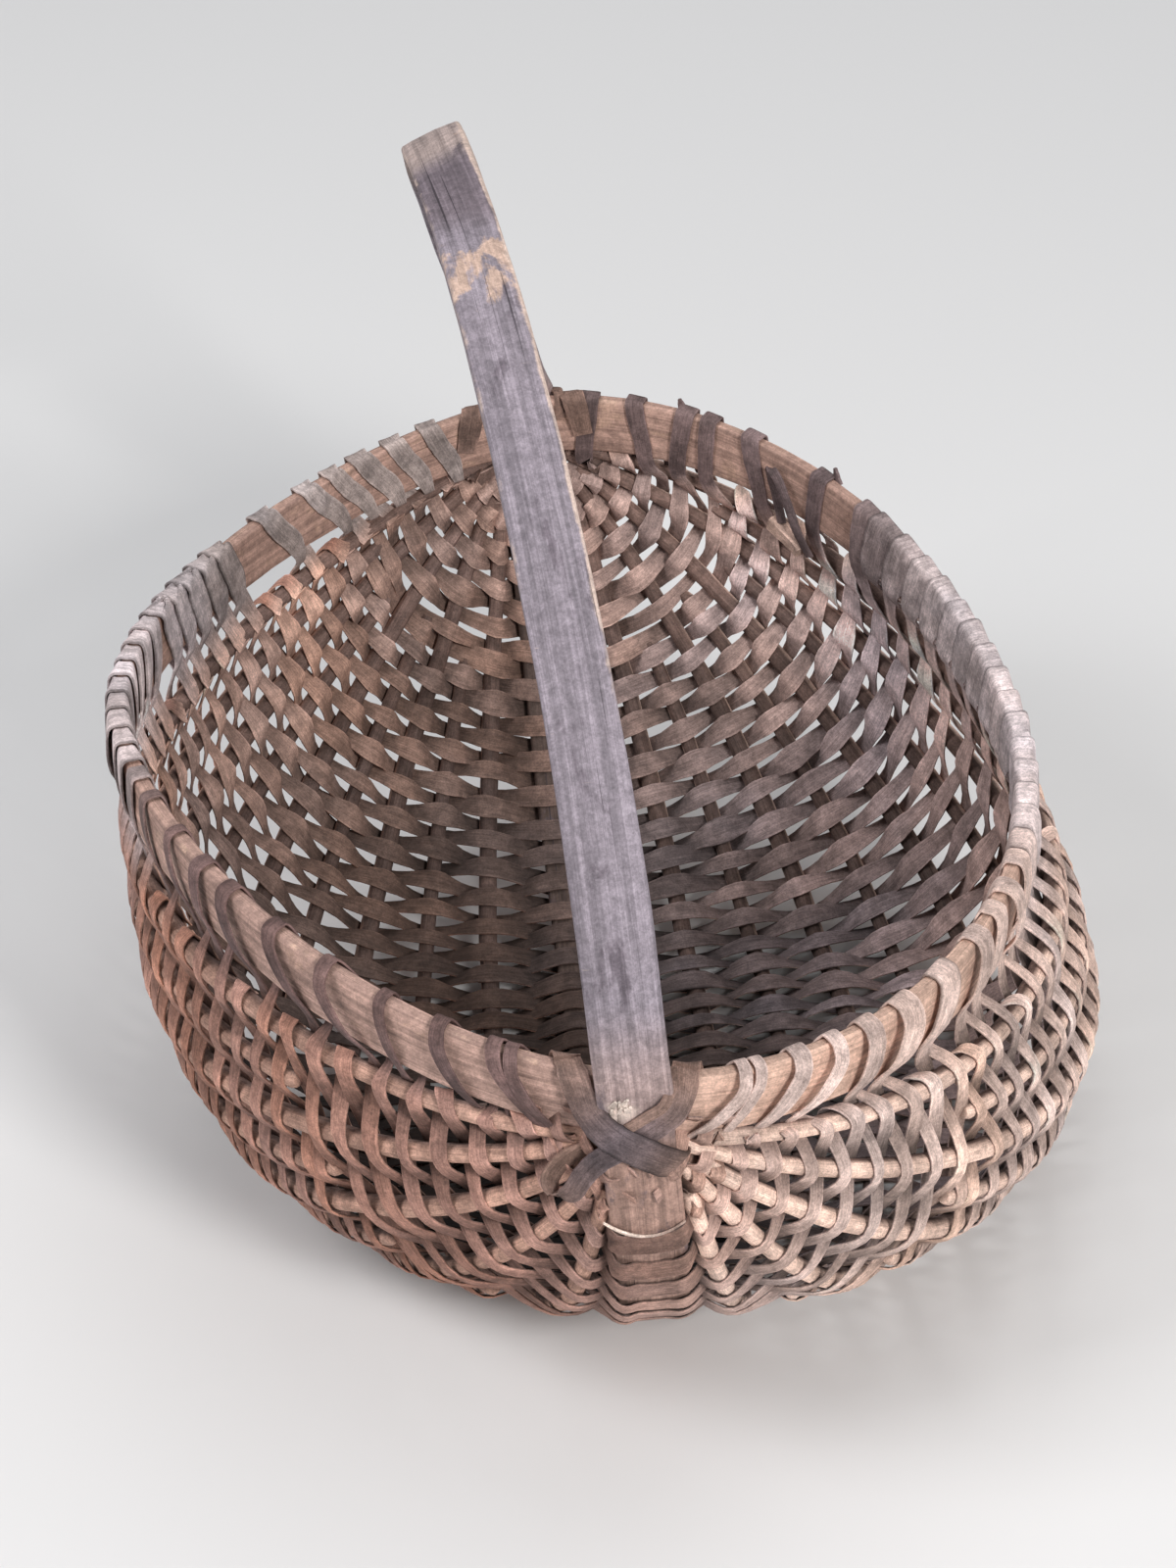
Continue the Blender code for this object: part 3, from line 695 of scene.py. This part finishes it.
SPLITS = split_material("split_wood_looks")


def elements(row):
    """Ribs that a row crosses from left to right, as number and side, with the spine as number 0."""
    numbers = [n for n in range(1, RIB_COUNT + 1) if rib_rows(n)[0] <= row <= rib_rows(n)[1]]
    return [(n, LEFT) for n in numbers] + [(0, 0)] + [(n, RIGHT) for n in reversed(numbers)]


def split_tints(place, outside, seed):
    """Colours of a split's outer and inner face: painted shade where it lies behind a rib, paler on its
    crests.
    """
    height = ramp(place[2], 0.02, 0.15)
    far = ramp(place[1], -0.08, 0.15)
    rightness = ramp(place[0], -0.06, 0.08)
    # Inside: the low colour, darkest on the left, is partly dirt and partly painted shade; its lighter
    # right is painted light
    low = across_mix(INNER_LOW, ramp(place[0], 0.0, 0.14))
    # Painted light: the high colour, lighter on the right and up the side walls
    high = across_mix(INNER_HIGH, rightness) * mix(0.80, 1.42, ramp(abs(place[0]), 0.05, 0.13))
    # Darker low down and towards the near side: partly dirt, partly painted shade
    inner = mix(low, high, 0.78 * height + 0.22 * far)
    # Outside: paler on the right, painted light from the right
    outer = across_mix(OUTER, rightness)
    spread = 1.0 + 0.24 * wander(seed * 1.7, 0.0, 11)
    spread += 0.22 * wander(place[0] * 26.0, place[1] * 26.0 + place[2] * 19.0, seed)
    warm = 0.07 * wander(seed * 2.3, 4.0, 12) + 0.06 * wander(place[0] * 15.0, place[1] * 15.0, 31)
    cast = spread * np.array((1.0 + warm, 1.0, 1.0 - warm))
    # Painted shade on the face that lies behind a rib
    if outside:
        return outer * cast * OUTER_CREST, inner * cast * SHADE_BEHIND_INNER
    return outer * cast * SHADE_BEHIND_OUTER, inner * cast


def spine_knots(row, centre, way, outside, seed):
    """Knots of a row over or under the spine, bent towards the ear at the spine's edges."""
    out = way.cross(ACROSS).normalized()
    height = (HANDLE_THICK / 2 + SPLIT_THICK) * (1 if outside else -1)
    wide = SPINE_SPLIT_WIDE if outside else INSIDE_WIDES[1]
    ear = 1.0 - ramp(min(row, ROWS - 1 - row), -3, 12)
    rise = way * (copysign(SPINE_RISE, row_share(row) - 0.5) * ear)
    tone = np.array((1.0, mix(1.0, 0.9, ear), mix(1.0, 0.84, ear)))
    knots = []
    for stop in SPINE_STOPS:
        spot = centre + ACROSS * (stop * (HANDLE_WIDE / 2 - 0.0005))
        spot += out * height + rise * stop ** 2
        front, back = split_tints(spot, outside, seed)
        front = front * mix(1.0, 0.30, ear) * tone
        knots.append(knot(spot, way, out, wide, front, SPLIT_DIVE if stop == 1.0 else 0.0, back=back))
    return knots


def row_knots(row, seed):
    """Knots of a row where it passes over and under the ribs and the spine."""
    share = row_share(row)
    parts = elements(row)
    centres = []
    for number, side in parts:
        track = RIB_TRACK[number, side] if number else SPINE_TRACK
        depth = number / (RIB_COUNT + 1) if number else 1.0
        stray = ROW_JITTER / ROWS * wander(number * 3.1 + side, row * 1.7, 21)
        centres.append(track.at(row_share(row, depth) + stray))
    ends = [rim_at(side, row)[0] - UP * RIM_TALL / 2 for side in SIDES]
    line = [ends[0], *(centre for centre, _ in centres), ends[1]]
    knots = []
    for k, (number, side) in enumerate(parts):
        outside = (row + k) % 2 == 1
        centre, way = centres[k]
        if not number:
            knots += spine_knots(row, centre, way, outside, seed)
            continue
        out = way.cross(line[k + 2] - line[k]).normalized()
        height = rib_radius(share, number) + SPLIT_THICK * 0.75
        spot = centre + out * (height if outside else -height)
        wide = mix(*(OUTSIDE_WIDES if outside else INSIDE_WIDES), ramp(share, 0.12, 0.36))
        wide *= 1.0 + 0.20 * wander(number * 5.3 + side, row * 2.9, 22) + 0.16 * wander(row * 3.7, 1.0, 24)
        roll = SPLIT_ROLL * (1.0 + 0.8 * wander(number, row, 23))
        front, back = split_tints(spot, outside, seed)
        knots.append(knot(spot, way, out, wide, front, SPLIT_DIVE, roll, back=back))
    return knots


def crowd(side, row):
    """How closely the wraps crowd on the rim there, from 0 to 1."""
    first, last = CROWDED_ROWS[side]
    return hump(row, first - 2.0, first + 3.0, last - 3.0, last + 1.0)


def foot_shift(side, row):
    """How many rows a wrap's foot stands from its top, towards the ear that it is nearer to."""
    return FAR_FOOT_SHIFT[side] * ramp(row, 42, 64) - NEAR_FOOT_SHIFT[side] * (1.0 - ramp(row, 16, 38))


def wrap_tint(side, row, seed):
    bare = mix(WRAP_NEAR[side], WRAP_FAR[side], ramp(row, 24, 48))
    weathered = crowd(side, row) * (0.9 - 0.72 * ramp(row, 51, 60))
    return mix(bare, WRAP_GREY, weathered) * (1.0 + 0.26 * wander(seed * 1.9, 1.0, 13))


def wrap_width(side, row, seed):
    if side == RIGHT and row < ROWS / 2:
        wide = mix(WRAP_WIDE, RIGHT_WRAP_WIDE, ramp(row, 6, 16))
    else:
        wide = mix(WRAP_WIDE, FAR_WRAP_WIDE[side], ramp(row, 32, 56))
    wide *= mix(0.72, 1.0, ramp(row, 1, 6))
    crowded = crowd(side, row)
    uneven = mix(0.22, 0.08, crowded) * wander(seed * 2.1, 3.0, 15)
    return mix(wide, DENSE_WRAP_WIDE, crowded) * (1.0 + uneven)


def wrap_knots(side, row, outer_foot, inner_foot, tucked, seed):
    """Knots of a wrap over the rim's top at a row, from its foot outside to its foot inside."""
    tight = ramp(row, 20, 34)
    slack = mix(WRAP_SLACK[side], TIGHT_SLACK, tight)
    loose = mix(0.0014, 0.0004, tight) + slack * abs(wander(seed * 3.3, 2.0, 14))
    wide = wrap_width(side, row, seed)
    tint = wrap_tint(side, row, seed)
    half = RIM_TALL / 2
    stand = RIM_THICK / 2 + SPLIT_THICK * 0.7
    # Outward, height, share of the way to the foot, and share of the width
    stops = ((stand * 0.6, -half - 0.0030, 1.0, 0.70), (stand + loose, -half * 0.35, 0.60, 0.95),
             (stand + loose, half * 0.5, 0.16, 1.0), (stand * 0.86 + loose * 0.5, half + 0.0003, 0.04, 1.0),
             (0.0, half + SPLIT_THICK * 0.8 + loose * 0.3, 0.0, 1.0),
             (-stand * 0.86, half + 0.0002, 0.04, 1.0), (-stand - loose * 0.5, half * 0.4, 0.3, 0.98),
             (-stand - loose * 0.4, -half * 0.4, 0.72, 0.92),
             (-stand * 0.7, -half - 0.0035, 1.0, 0.52 if tucked else 0.90))
    middle = len(stops) // 2
    roll = (0.05 * crowd(side, row) + 0.05) * side
    knots = []
    for k, (outward, height, slant, swell) in enumerate(stops):
        centre, way, out = rim_at(side, mix(row, outer_foot if k < middle else inner_foot, slant))
        facing = out if k < middle else (UP if k == middle else -out)
        knots.append(knot(centre + out * outward + UP * height, way, facing, wide * swell, tint, roll=roll))
    return knots


def under_rim(side, row, seed):
    """Knot under the rim's lower edge, between the two turns of a doubled wrap."""
    centre, way, _ = rim_at(side, row)
    spot = centre - UP * (RIM_TALL / 2 + 0.0012)
    return knot(spot, way, -UP, WRAP_WIDE * 0.8, wrap_tint(side, row, seed))


def wraps_of_turn(side, middle):
    """Rows of the wraps that belong to the weaver's turn in the middle of two rows."""
    rows = [*WRAP_ROWS[side], *np.arange(*CROWDED_ROWS[side], DENSE_STEP).tolist()]
    return [row + 0.25 * wander(row * 1.3, 5.0, 16) for row in sorted(rows)
            if -1.0 <= row + foot_shift(side, row) - middle < 1.0]


def rib_turn_knot(side, row, seed):
    """Knot of a split that turns back round the first rib and leaves the rim bare."""
    centre, way = RIB_TRACK[1, side].at(row_share(row, 0.1))
    up = (rim_at(side, row)[0] - centre).normalized()
    spot = centre + up * (rib_radius(row_share(row), 1) + 0.0022)
    front, back = split_tints(spot, True, seed)
    return knot(spot, way, -up, OUTSIDE_WIDES[1], back, back=front)


def turn_knots(side, middle, seed):
    """Knots of a weaver's turn over the rim, whose wraps run the other way along the far right."""
    knots = []
    tucked = side == LEFT or middle < LONG_FEET_ROW
    foot = FOOT_ROWS * side if tucked else -FOOT_ROWS * side
    for k, row in enumerate(wraps_of_turn(side, middle)):
        away = TURN_SPREAD * (k - 0.5)
        wrap = wrap_knots(side, row, middle - foot + away, middle + foot + away, tucked, seed + 0.4 * k)
        if foot < 0:
            wrap.reverse()
        if k:
            wrap.insert(0, under_rim(side, row - 0.5, seed))
        knots += wrap if tucked else map(turned, wrap)
    return knots or [rib_turn_knot(side, middle, seed)]


# Pieces


def make_weavers():
    """Every split goes out along one row and back along the next."""
    pairs = ROWS // 2
    last = pairs + EAR_WEAVERS - 1
    for number in range(-EAR_WEAVERS, last + 1):
        seed = number + 3
        going = 2 * number
        coming = going + 1
        knots = row_knots(going, seed)
        knots += turn_knots(RIGHT, going + 0.5, seed)
        knots += map(turned, reversed(row_knots(coming, seed)))
        if number < last:
            knots += turn_knots(LEFT, coming + 0.5, seed + 50)
            knots += row_knots(coming + 1, seed)[:1]
        cad = min(max(number * CAD_WEAVERS // pairs, 0), CAD_WEAVERS - 1)
        name = f"split_{number + EAR_WEAVERS + 1:02d}"
        split_mesh(name, knots, seed, "split_wood", f"weaver_{cad + 1:02d}")


def ear_strand_knots(end, side, step, reach, seed):
    """Knots of a strand that runs from the rim down to the spine, over and under the rib tips."""
    knots = []
    for k in range(EAR_STRAND_KNOTS):
        theta = radians(mix(6.0, 84.0, k / (EAR_STRAND_KNOTS - 1)))
        phi = angle_after(lambda angle: wall_point(angle, theta, side), reach)
        centre = wall_point(phi if end == NEAR else pi - phi, theta, side)
        out = (wall_out(centre) + Vector((0.0, end * 0.6, 0.0))).normalized()
        way = Vector((side * cos(theta), -end * 0.4, -sin(theta))).normalized()
        weave = EAR_STRAND_WEAVE * cos(pi * (k / 2 + step))
        spot = centre + out * (EAR_STRAND_STAND + weave)
        front, back = split_tints(spot, True, seed)
        knots.append(knot(spot, way, out, EAR_STRAND_WIDE, front * 0.8, roll=0.3 * side, back=back))
    return knots


def make_ear_strands():
    """Strands wound round the rib tips close to each ear, before the whole rows begin."""
    for end, cad in ((NEAR, 1), (FAR, CAD_WEAVERS)):
        for side in SIDES:
            for step, reach in enumerate(EAR_REACHES):
                seed = 320 + step * 4 + side + end
                split_mesh(f"ear_strand_{END_NAME[end]}_{SIDE_NAME[side]}_{step + 1}",
                           ear_strand_knots(end, side, step, reach, seed), seed, "split_wood",
                           f"weaver_{cad:02d}")


def make_rib_looks():
    material = split_material("rib_wood_looks", fibre=0.8, dirt=0.8)
    for (number, side), track in RIB_TRACK.items():
        first, last = rib_rows(number)
        depth = number / (RIB_COUNT + 1)
        begin = max(row_share(first, depth) - RIB_END, track.share[0])
        end = min(row_share(last, depth) + RIB_END, track.share[-1])
        seed = number + (20 if side == RIGHT else 0)
        verts, grain, tint = [], [], []
        for k in range(RIB_STEPS + 1):
            share = mix(begin, end, k / RIB_STEPS)
            centre, way = track.at(share)
            first_way = way.cross(UP).normalized()
            second = first_way.cross(way)
            run = track.length * share
            bend = first_way * (0.0004 * wander(run * 25, 1, seed))
            bend += second * (0.0004 * wander(run * 25, 2, seed))
            blunt = 0.72 if k in (0, RIB_STEPS) else 1.0
            radius = rib_radius(share, number) * blunt * (1.0 + 0.07 * wander(run * 60, 3, seed))
            outward = wall_out(centre)
            # Inner faces darker low down: partly dirt, partly painted shade
            inner = RIB_INNER * (0.55 + 0.95 * ramp(centre.z, 0.04, 0.14))
            spread = 1.0 + 0.16 * wander(run * 15, 6, seed)
            for corner in range(RIB_SIDES):
                turn = 2 * pi * corner / RIB_SIDES
                arm = first_way * cos(turn) + second * sin(turn)
                shave = 1.0 + 0.09 * wander(cos(turn) * 1.5 + run * 18, sin(turn) * 1.5, seed)
                verts.append(centre + bend + arm * radius * shave)
                grain.append((run, turn * radius, seed * 0.61))
                # Faces toward the outside take the outer colour, paler on the right as painted light;
                # inward faces take the darker inner colour, partly dirt and partly painted shade
                facing = ramp(arm.dot(outward), -0.3, 0.3)
                tint.append((*np.clip(mix(inner, RIB_OUTER[side], facing) * spread, 0, 1), 1.0))
        name = f"rib_{SIDE_NAME[side]}_{number}"
        add_mesh(f"whittled_{name}", verts, ring_faces(RIB_STEPS + 1, RIB_SIDES, False), "rib_wood",
                 material, name, grain=grain, tint=tint)


def strip_section(wide, thick, round_off):
    """Outline of a hoop strip with rounded edges and crowned faces, as (across, outward) pairs."""
    half_wide = wide / 2
    half_thick = thick / 2
    points = []
    for quarter, (a, b) in enumerate(((1, 1), (-1, 1), (-1, -1), (1, -1))):
        for step in range(CORNER_STEPS + 1):
            turn = pi / 2 * (quarter + step / CORNER_STEPS)
            points.append((a * (half_wide - round_off) + round_off * cos(turn),
                           b * (half_thick - round_off) + round_off * sin(turn)))
        if quarter % 2 == 0:
            for share in (0.6, 0.2, -0.2, -0.6):
                points.append((a * share * half_wide, b * (half_thick + HOOP_CROWN * (1.0 - share ** 2))))
    return points


def make_hoop(name, centres, across_of, wide_of, thick, round_off, slot, material, node, seed, wear_of):
    """A closed hoop strip: hand-shaved faces, softly rounded and worn edges."""
    count = len(centres)
    verts, grain, wear, edges, tint = [], [], [], [], []
    run = 0.0
    for k, centre in enumerate(centres):
        travel = (centres[(k + 1) % count] - centres[k - 1]).normalized()
        if k:
            run += (centre - centres[k - 1]).length
        across = across_of(centre, travel)
        out = across.cross(travel).normalized()
        wide = wide_of(centre)
        outline = strip_section(wide, thick, round_off)
        for a, b in outline:
            edge = ramp(abs(a), wide * 0.34, wide * 0.5)
            ripple = 1.0 + 0.02 * wander(run * 30, 1 if a > 0 else 2, seed) * edge
            shaved = 0.00025 * wander(run * 24, a * 160, seed) + 0.00014 * wander(run * 90, a * 400, seed)
            verts.append(centre + across * (a * ripple) + out * (b + shaved * (1 if b > 0 else -1)))
            grain.append((run, a + (0.05 if b > 0 else 0.0), seed * 0.5))
            bare, pale, colour = wear_of(centre, a / wide, b)
            wear.append(bare)
            edges.append(edge * pale)
            tint.append((*colour, 1.0))
    add_mesh(name, verts, ring_faces(count, len(outline), True), slot, material, node,
             grain=grain, wear=wear, edge=edges, tint=tint)


def even_points(curve, count):
    """Points of a curve from ear to ear, evenly spaced."""
    track = Track(curve, 0.0, pi, 300)
    return [track.place(k / count) for k in range(count + 1)]


def grip_across(centre, travel):
    """Way across the handle's strip, whose grip is turned."""
    if centre.z < RIM_MIDDLE.z + HANDLE_RISE / 2:
        return ACROSS
    return Quaternion(travel, -HANDLE_BANK * hump(centre.y, -0.035, 0.04, 0.07, 0.15)) @ ACROSS


def grip_width(centre):
    rise = min(max((centre.z - RIM_MIDDLE.z) / HANDLE_RISE, 0.0), 1.0)
    return mix(HANDLE_WIDE, GRIP_WIDE, rise ** 2)


def handle_wear(centre, a, b):
    """How bare the handle is at a place, how pale its edges are, and its colour."""
    above = centre.z - RIM_MIDDLE.z
    grip = ramp(centre.z, 0.29, 0.32)
    right = ramp(a, 0.1, 0.5)
    rubbed = hump(centre.y, -0.060, -0.046, -0.026, -0.014)
    worn = ramp(centre.y, 0.022, 0.042)
    dark = ramp(centre.y, -0.022, -0.006) * (1.0 - worn)
    broken = 1.0 - ramp(hypot(above - 0.007, 0.8 * (a * HANDLE_WIDE + 0.0045)), 0.002, 0.006)
    foot = hump(above, -0.002, 0.008, 0.012, 0.045)
    colour = mix(HANDLE_GREY, HANDLE_BROWN if b > 0 else SPINE_INNER, 1.0 - ramp(above, -0.012, 0.012))
    colour = mix(colour, HANDLE_SHADE, grip * dark * 0.8)
    colour = mix(colour, HANDLE_PALE, grip * worn * 0.85)
    if centre.y < 0 < b:
        colour = mix(colour, BREAK_PALE, 0.75 * broken)
    colour = mix(colour, HANDLE_FOOT, 0.8 * foot * (1.0 - broken))
    bare = -0.3 + grip * (0.30 + 0.62 * rubbed + 0.25 * worn) + 0.14 * right * grip
    return bare, 0.12 + grip * 0.5 + 0.5 * right * ramp(centre.z, 0.24, 0.31), colour


def make_handle_look():
    material = hoop_material("handle_wood_looks", HANDLE_BARE, HANDLE_DARK, HANDLE_WORN)
    seat = UP * (RIM_TALL / 2 + GAP)
    arch = even_points(arch_point, HANDLE_STEPS)
    near = arch[0]
    far = arch[-1]
    above = [p for k, p in enumerate(arch)
             if p.z > near.z + seat.z + SEAT_GAP or 10 < k < HANDLE_STEPS - 10]
    below = [p for p in even_points(spine_curve, HANDLE_STEPS) if p.z < near.z - seat.z - SEAT_GAP]
    rungs = [near - seat + seat * (k / 4) for k in range(9)]
    drops = [far + seat - seat * (k / 4) for k in range(9)]
    smooth = rungs + above + drops + below[::-1]
    for _ in range(2):
        smooth = [(before + here * 2 + after) / 4
                  for before, here, after in zip(smooth[-1:] + smooth, smooth, smooth[1:] + smooth[:1])]
    make_hoop("shaved_handle_hoop", smooth, grip_across, grip_width, HANDLE_THICK, 0.0016, "handle_wood",
              material, "handle_hoop", 5, handle_wear)


def rim_across(centre, travel):
    """Way across the rim's strip, which stands square to the rim's run."""
    out = travel.cross(UP).normalized()
    return travel.cross(out).normalized() * -1.0


def rim_wear(centre, a, b):
    """How bare the rim is at a place, how pale its edges are, and its colour."""
    fresh = across_mix(RIM_NEAR, ramp(centre.x, -0.02, 0.02))
    colour = mix(RIM_GREY, fresh, ramp(-centre.y, 0.02, 0.12))
    return 0.30 + 0.12 * ramp(centre.y, 0.0, 0.1), 0.5, colour


def make_rim_look():
    material = hoop_material("rim_wood_looks", RIM_BARE_WOOD, RIM_DARK, RIM_WORN, cracks=0.45)
    left, right = [even_points(rim_curve(side), RIM_STEPS) for side in SIDES]
    make_hoop("shaved_rim_hoop", right[:-1] + left[:0:-1], rim_across,
              lambda centre: RIM_TALL, RIM_THICK, 0.0013, "rim_wood", material, "rim_hoop", 9, rim_wear)


class Ear:
    """The crossing of rim and handle at one end, for placing what binds it."""

    def __init__(self, end):
        self.end = end
        self.angle = 0.0 if end == NEAR else pi
        self.middle = arch_point(self.angle)
        self.out = Vector((0.0, end, 0.0))

    def on_rim(self, hand, along, outward, height):
        """Place on the rim at a distance along it, with the way along and outward there."""
        phi = angle_after(rim_curve(hand), along)
        centre = wall_point(phi if self.end == NEAR else pi - phi, 0.0, hand)
        corner = wall_point(self.angle, 0.0, hand)
        way = ((centre - corner) * hand).normalized()
        out = way.cross(UP).normalized() * -self.end
        return centre + out * outward + UP * height, way, out

    def on_face(self, x, outward, z, way):
        """Place over the handle's outer face, which lies at outward 0."""
        spot = self.middle + Vector((x, 0.0, z)) + self.out * (HANDLE_THICK / 2 + outward)
        return spot, Vector(way).normalized(), self.out


def lash_knots(ear, over, seed):
    """Knots of a strap of the crossed lashing at an ear, from the rim's top down to its tucked end."""
    hand = LEFT if over else RIGHT
    along = LASH_OUT if over else LASH_OUT - 0.003
    spots = [(*ear.on_rim(hand, along + further, outward, LASH_TOP + height), wide)
             for further, outward, height, wide in STRAP_ON_RIM]
    for k, (x, outward, z, wide) in enumerate(OVER_ON_FACE if over else UNDER_ON_FACE):
        way = (OVER_WAY if k < 3 else OVER_LOW_WAY) if over else UNDER_WAY
        spots.append((*ear.on_face(x, outward, z, way), wide))
    knots = []
    for k, (*spot, wide) in enumerate(spots):
        crossing = 1.0 - ramp(abs(k / (len(spots) - 1) - 0.58), 0.0, 0.34)
        colour = mix(LASH_BROWN, LASH_GREY, crossing) * (1.0 + 0.3 * wander(seed, k * 0.4, 3))
        knots.append(knot(*spot, wide, colour, thick=STRAP_THICK))
    return knots


def second_strand_knots(ear):
    """Knots of the narrow strand that doubles the under strap along its upper edge."""
    top = RIM_TALL / 2
    on_rim = ((0.0125, -0.0036, 0.004), (0.0125, -0.002, top + 0.001), (0.0118, 0.003, top + 0.0014))
    on_face = ((0.0085, 0.0022, 0.0080), (0.0030, 0.0022, 0.0035), (-0.0040, 0.0012, -0.0020))
    spots = [ear.on_rim(RIGHT, *spot) for spot in on_rim]
    spots += [ear.on_face(*spot, UNDER_WAY) for spot in on_face]
    return strip_knots(spots, 0.0034, 0.0034, LASH_BROWN, 0.0011, 0.2)


def make_lashings():
    for end, end_name in END_NAME.items():
        ear = Ear(end)
        for over, level in ((False, "under"), (True, "over")):
            seed = 200 + end * 3 + (1 if over else 0)
            split_mesh(f"strap_{end_name}_{level}", lash_knots(ear, over, seed), seed, "lashing_wood",
                       f"{end_name}_lashing_{level}", samples=8, cup=0.0005, fold=0.0006)
        split_mesh(f"strap_{end_name}_second", second_strand_knots(ear), 230 + end, "lashing_wood",
                   f"{end_name}_lashing_under", samples=8)


def make_splinters():
    """Pale broken fibres over the crossing at the near ear, and along the first wrap's edge below it."""
    ear = Ear(NEAR)
    for k in range(SPLINTERS):
        x = mix(-0.0074, -0.0012, chance.random())
        z = mix(0.0040, 0.0088, chance.random())
        tilt = chance.uniform(-0.5, 0.7)
        length = chance.uniform(0.0022, 0.0042)
        way = Vector((cos(tilt), 0.0, sin(tilt)))
        along = Vector((-way.z, 0.0, way.x))
        spots = [ear.on_face(x + along.x * length * s, 0.0004 + 0.0016 * s, z + along.z * length * s, way)
                 for s in (-0.5, 0.0, 0.5)]
        knots = strip_knots(spots, 0.0017, 0.0008, BREAK_PALE, 0.0007)
        split_mesh(f"splinter_{k + 1}", knots, 400 + k, "lashing_wood", "near_lashing_over", samples=3)
    knots = []
    for k in range(EDGE_KNOTS):
        x = mix(-0.0135, 0.0115, k / (EDGE_KNOTS - 1))
        bend = (x / 0.0125) ** 2
        back = (SPINE_SPLIT_WIDE / 2 + SPINE_RISE * bend) / SPINE_TRACK.length
        centre, way = SPINE_TRACK.at(row_share(0, 1.0) - back)
        out = way.cross(ACROSS).normalized()
        spot = centre + Vector((x, 0.0, 0.0)) + out * (HANDLE_THICK / 2 + 0.0017 - 0.0012 * bend)
        pale = 1.0 - ramp(x, -0.004, 0.006)
        wide = 0.0005 + 0.0012 * pale * abs(wander(x * 900, 1.0, 77))
        knots.append(knot(spot, way, out, wide, mix(LASH_BROWN, BREAK_PALE, mix(0.35, 1.0, pale)),
                          thick=0.0008))
    split_mesh("broken_edge", knots, 430, "split_wood", "weaver_01", samples=4, rough=0.3)


def make_loose_ends():
    """A folded split that hangs loose inside the far right rim, a broken rod end and two stubs there."""
    def inside(row, inward, height):
        centre, way, out = rim_at(RIGHT, row)
        return centre - out * inward + UP * height, way, -out

    stand = RIM_THICK / 2 + 0.0016
    top = RIM_TALL / 2
    loop = [inside(row, stand + inward, height - top)
            for row, inward, height in ((63.6, 0.002, -0.010), (64.3, 0.004, -0.001), (65.3, 0.003, 0.008),
                                        (66.2, 0.002, 0.015), (66.9, 0.001, 0.0165), (67.0, 0.0, 0.013),
                                        (66.6, 0.0, 0.006), (66.0, 0.001, -0.004))]
    split_mesh("folded_loose_split", strip_knots(loop, 0.0036, 0.0036, WRAP_FAR[RIGHT] * 0.8, 0.0010, 0.2),
               441, "split_wood", "weaver_25")
    rod = [inside(row, 0.004 + 0.0006 * k, -top - 0.0065 - 0.0008 * k)
           for k, row in enumerate((66.9, 66.2, 65.4, 64.7, 64.2))]
    rod = [(spot, UP, out) for spot, _, out in rod]
    split_mesh("broken_rod_end", strip_knots(rod, 0.0062, 0.0042, BROKEN_WOOD, 0.0052), 442, "rib_wood",
               "weaver_25", samples=4, rough=0.16)
    for k, (row, tall) in enumerate(((73.8, 0.0042), (62.6, 0.0056))):
        stub = [inside(row + 0.12 * step, -stand * 0.6, top + tall * (step / 2) - 0.001)
                for step in range(3)]
        split_mesh(f"rim_stub_{k + 1}", strip_knots(stub, 0.0042, 0.0012, WRAP_FAR[RIGHT], 0.0012), 443 + k,
                   "split_wood", "weaver_25", samples=4)


# Floor, camera and light


def make_stage():
    mesh = bpy.data.meshes.new("floor")
    corners = [(x * FLOOR_SIZE, y * FLOOR_SIZE, 0.0) for x, y in ((-1, -1), (1, -1), (1, 1), (-1, 1))]
    mesh.from_pydata(corners, [], [(0, 1, 2, 3)])
    n = Nodes("floor_pale")
    n.put(n.shader, {"Base Color": FLOOR_COLOUR, "Roughness": 0.85})
    mesh.materials.append(n.material)
    add_object("floor", mesh)


def make_camera():
    level = cos(CAMERA_ELEVATION)
    away = Vector((-level * sin(CAMERA_YAW), -level * cos(CAMERA_YAW), sin(CAMERA_ELEVATION)))
    data = bpy.data.cameras.new("photo_camera")
    data.sensor_width = SENSOR
    data.lens = LENS_SHARE * SENSOR
    data.shift_x, data.shift_y = LENS_SHIFT
    data.clip_start = 0.05
    data.clip_end = 40.0
    camera = add_object("photo_camera", data)
    camera.location = RIM_MIDDLE + away * CAMERA_DISTANCE
    camera.rotation_mode = "QUATERNION"
    camera.rotation_quaternion = away.to_track_quat("Z", "Y") @ Quaternion((0.0, 0.0, 1.0), CAMERA_ROLL)
    bpy.context.scene.camera = camera


def area_light(name, place, size, power, colour):
    """Square lamp that points at the basket."""
    data = bpy.data.lights.new(name, "AREA")
    data.size = size
    data.energy = power
    data.color = colour
    light = add_object(name, data)
    light.location = place
    light.rotation_mode = "QUATERNION"
    light.rotation_quaternion = (Vector((0.0, 0.0, 0.1)) - Vector(place)).to_track_quat("-Z", "Y")


def make_light():
    area_light("window", (1.0, -2.2, 1.7), 0.6, 58.0, (1.0, 0.99, 0.98))
    area_light("room", (-1.6, -0.5, 1.9), 0.9, 26.0, (0.98, 0.98, 1.0))
    area_light("sky", (0.3, 0.5, 2.4), 1.8, 16.0, (0.97, 0.98, 1.0))
    world = bpy.data.worlds.new("room")
    world.use_nodes = True
    shade = world.node_tree.nodes["Background"]
    shade.inputs["Color"].default_value = (0.95, 0.97, 1.0, 1.0)
    shade.inputs["Strength"].default_value = 0.32
    bpy.context.scene.world = world


bpy.context.scene.view_settings.view_transform = "Standard"
make_camera()
make_light()
make_stage()
make_handle_look()
make_rim_look()
make_rib_looks()
make_weavers()
make_ear_strands()
make_lashings()
make_splinters()
make_loose_ends()
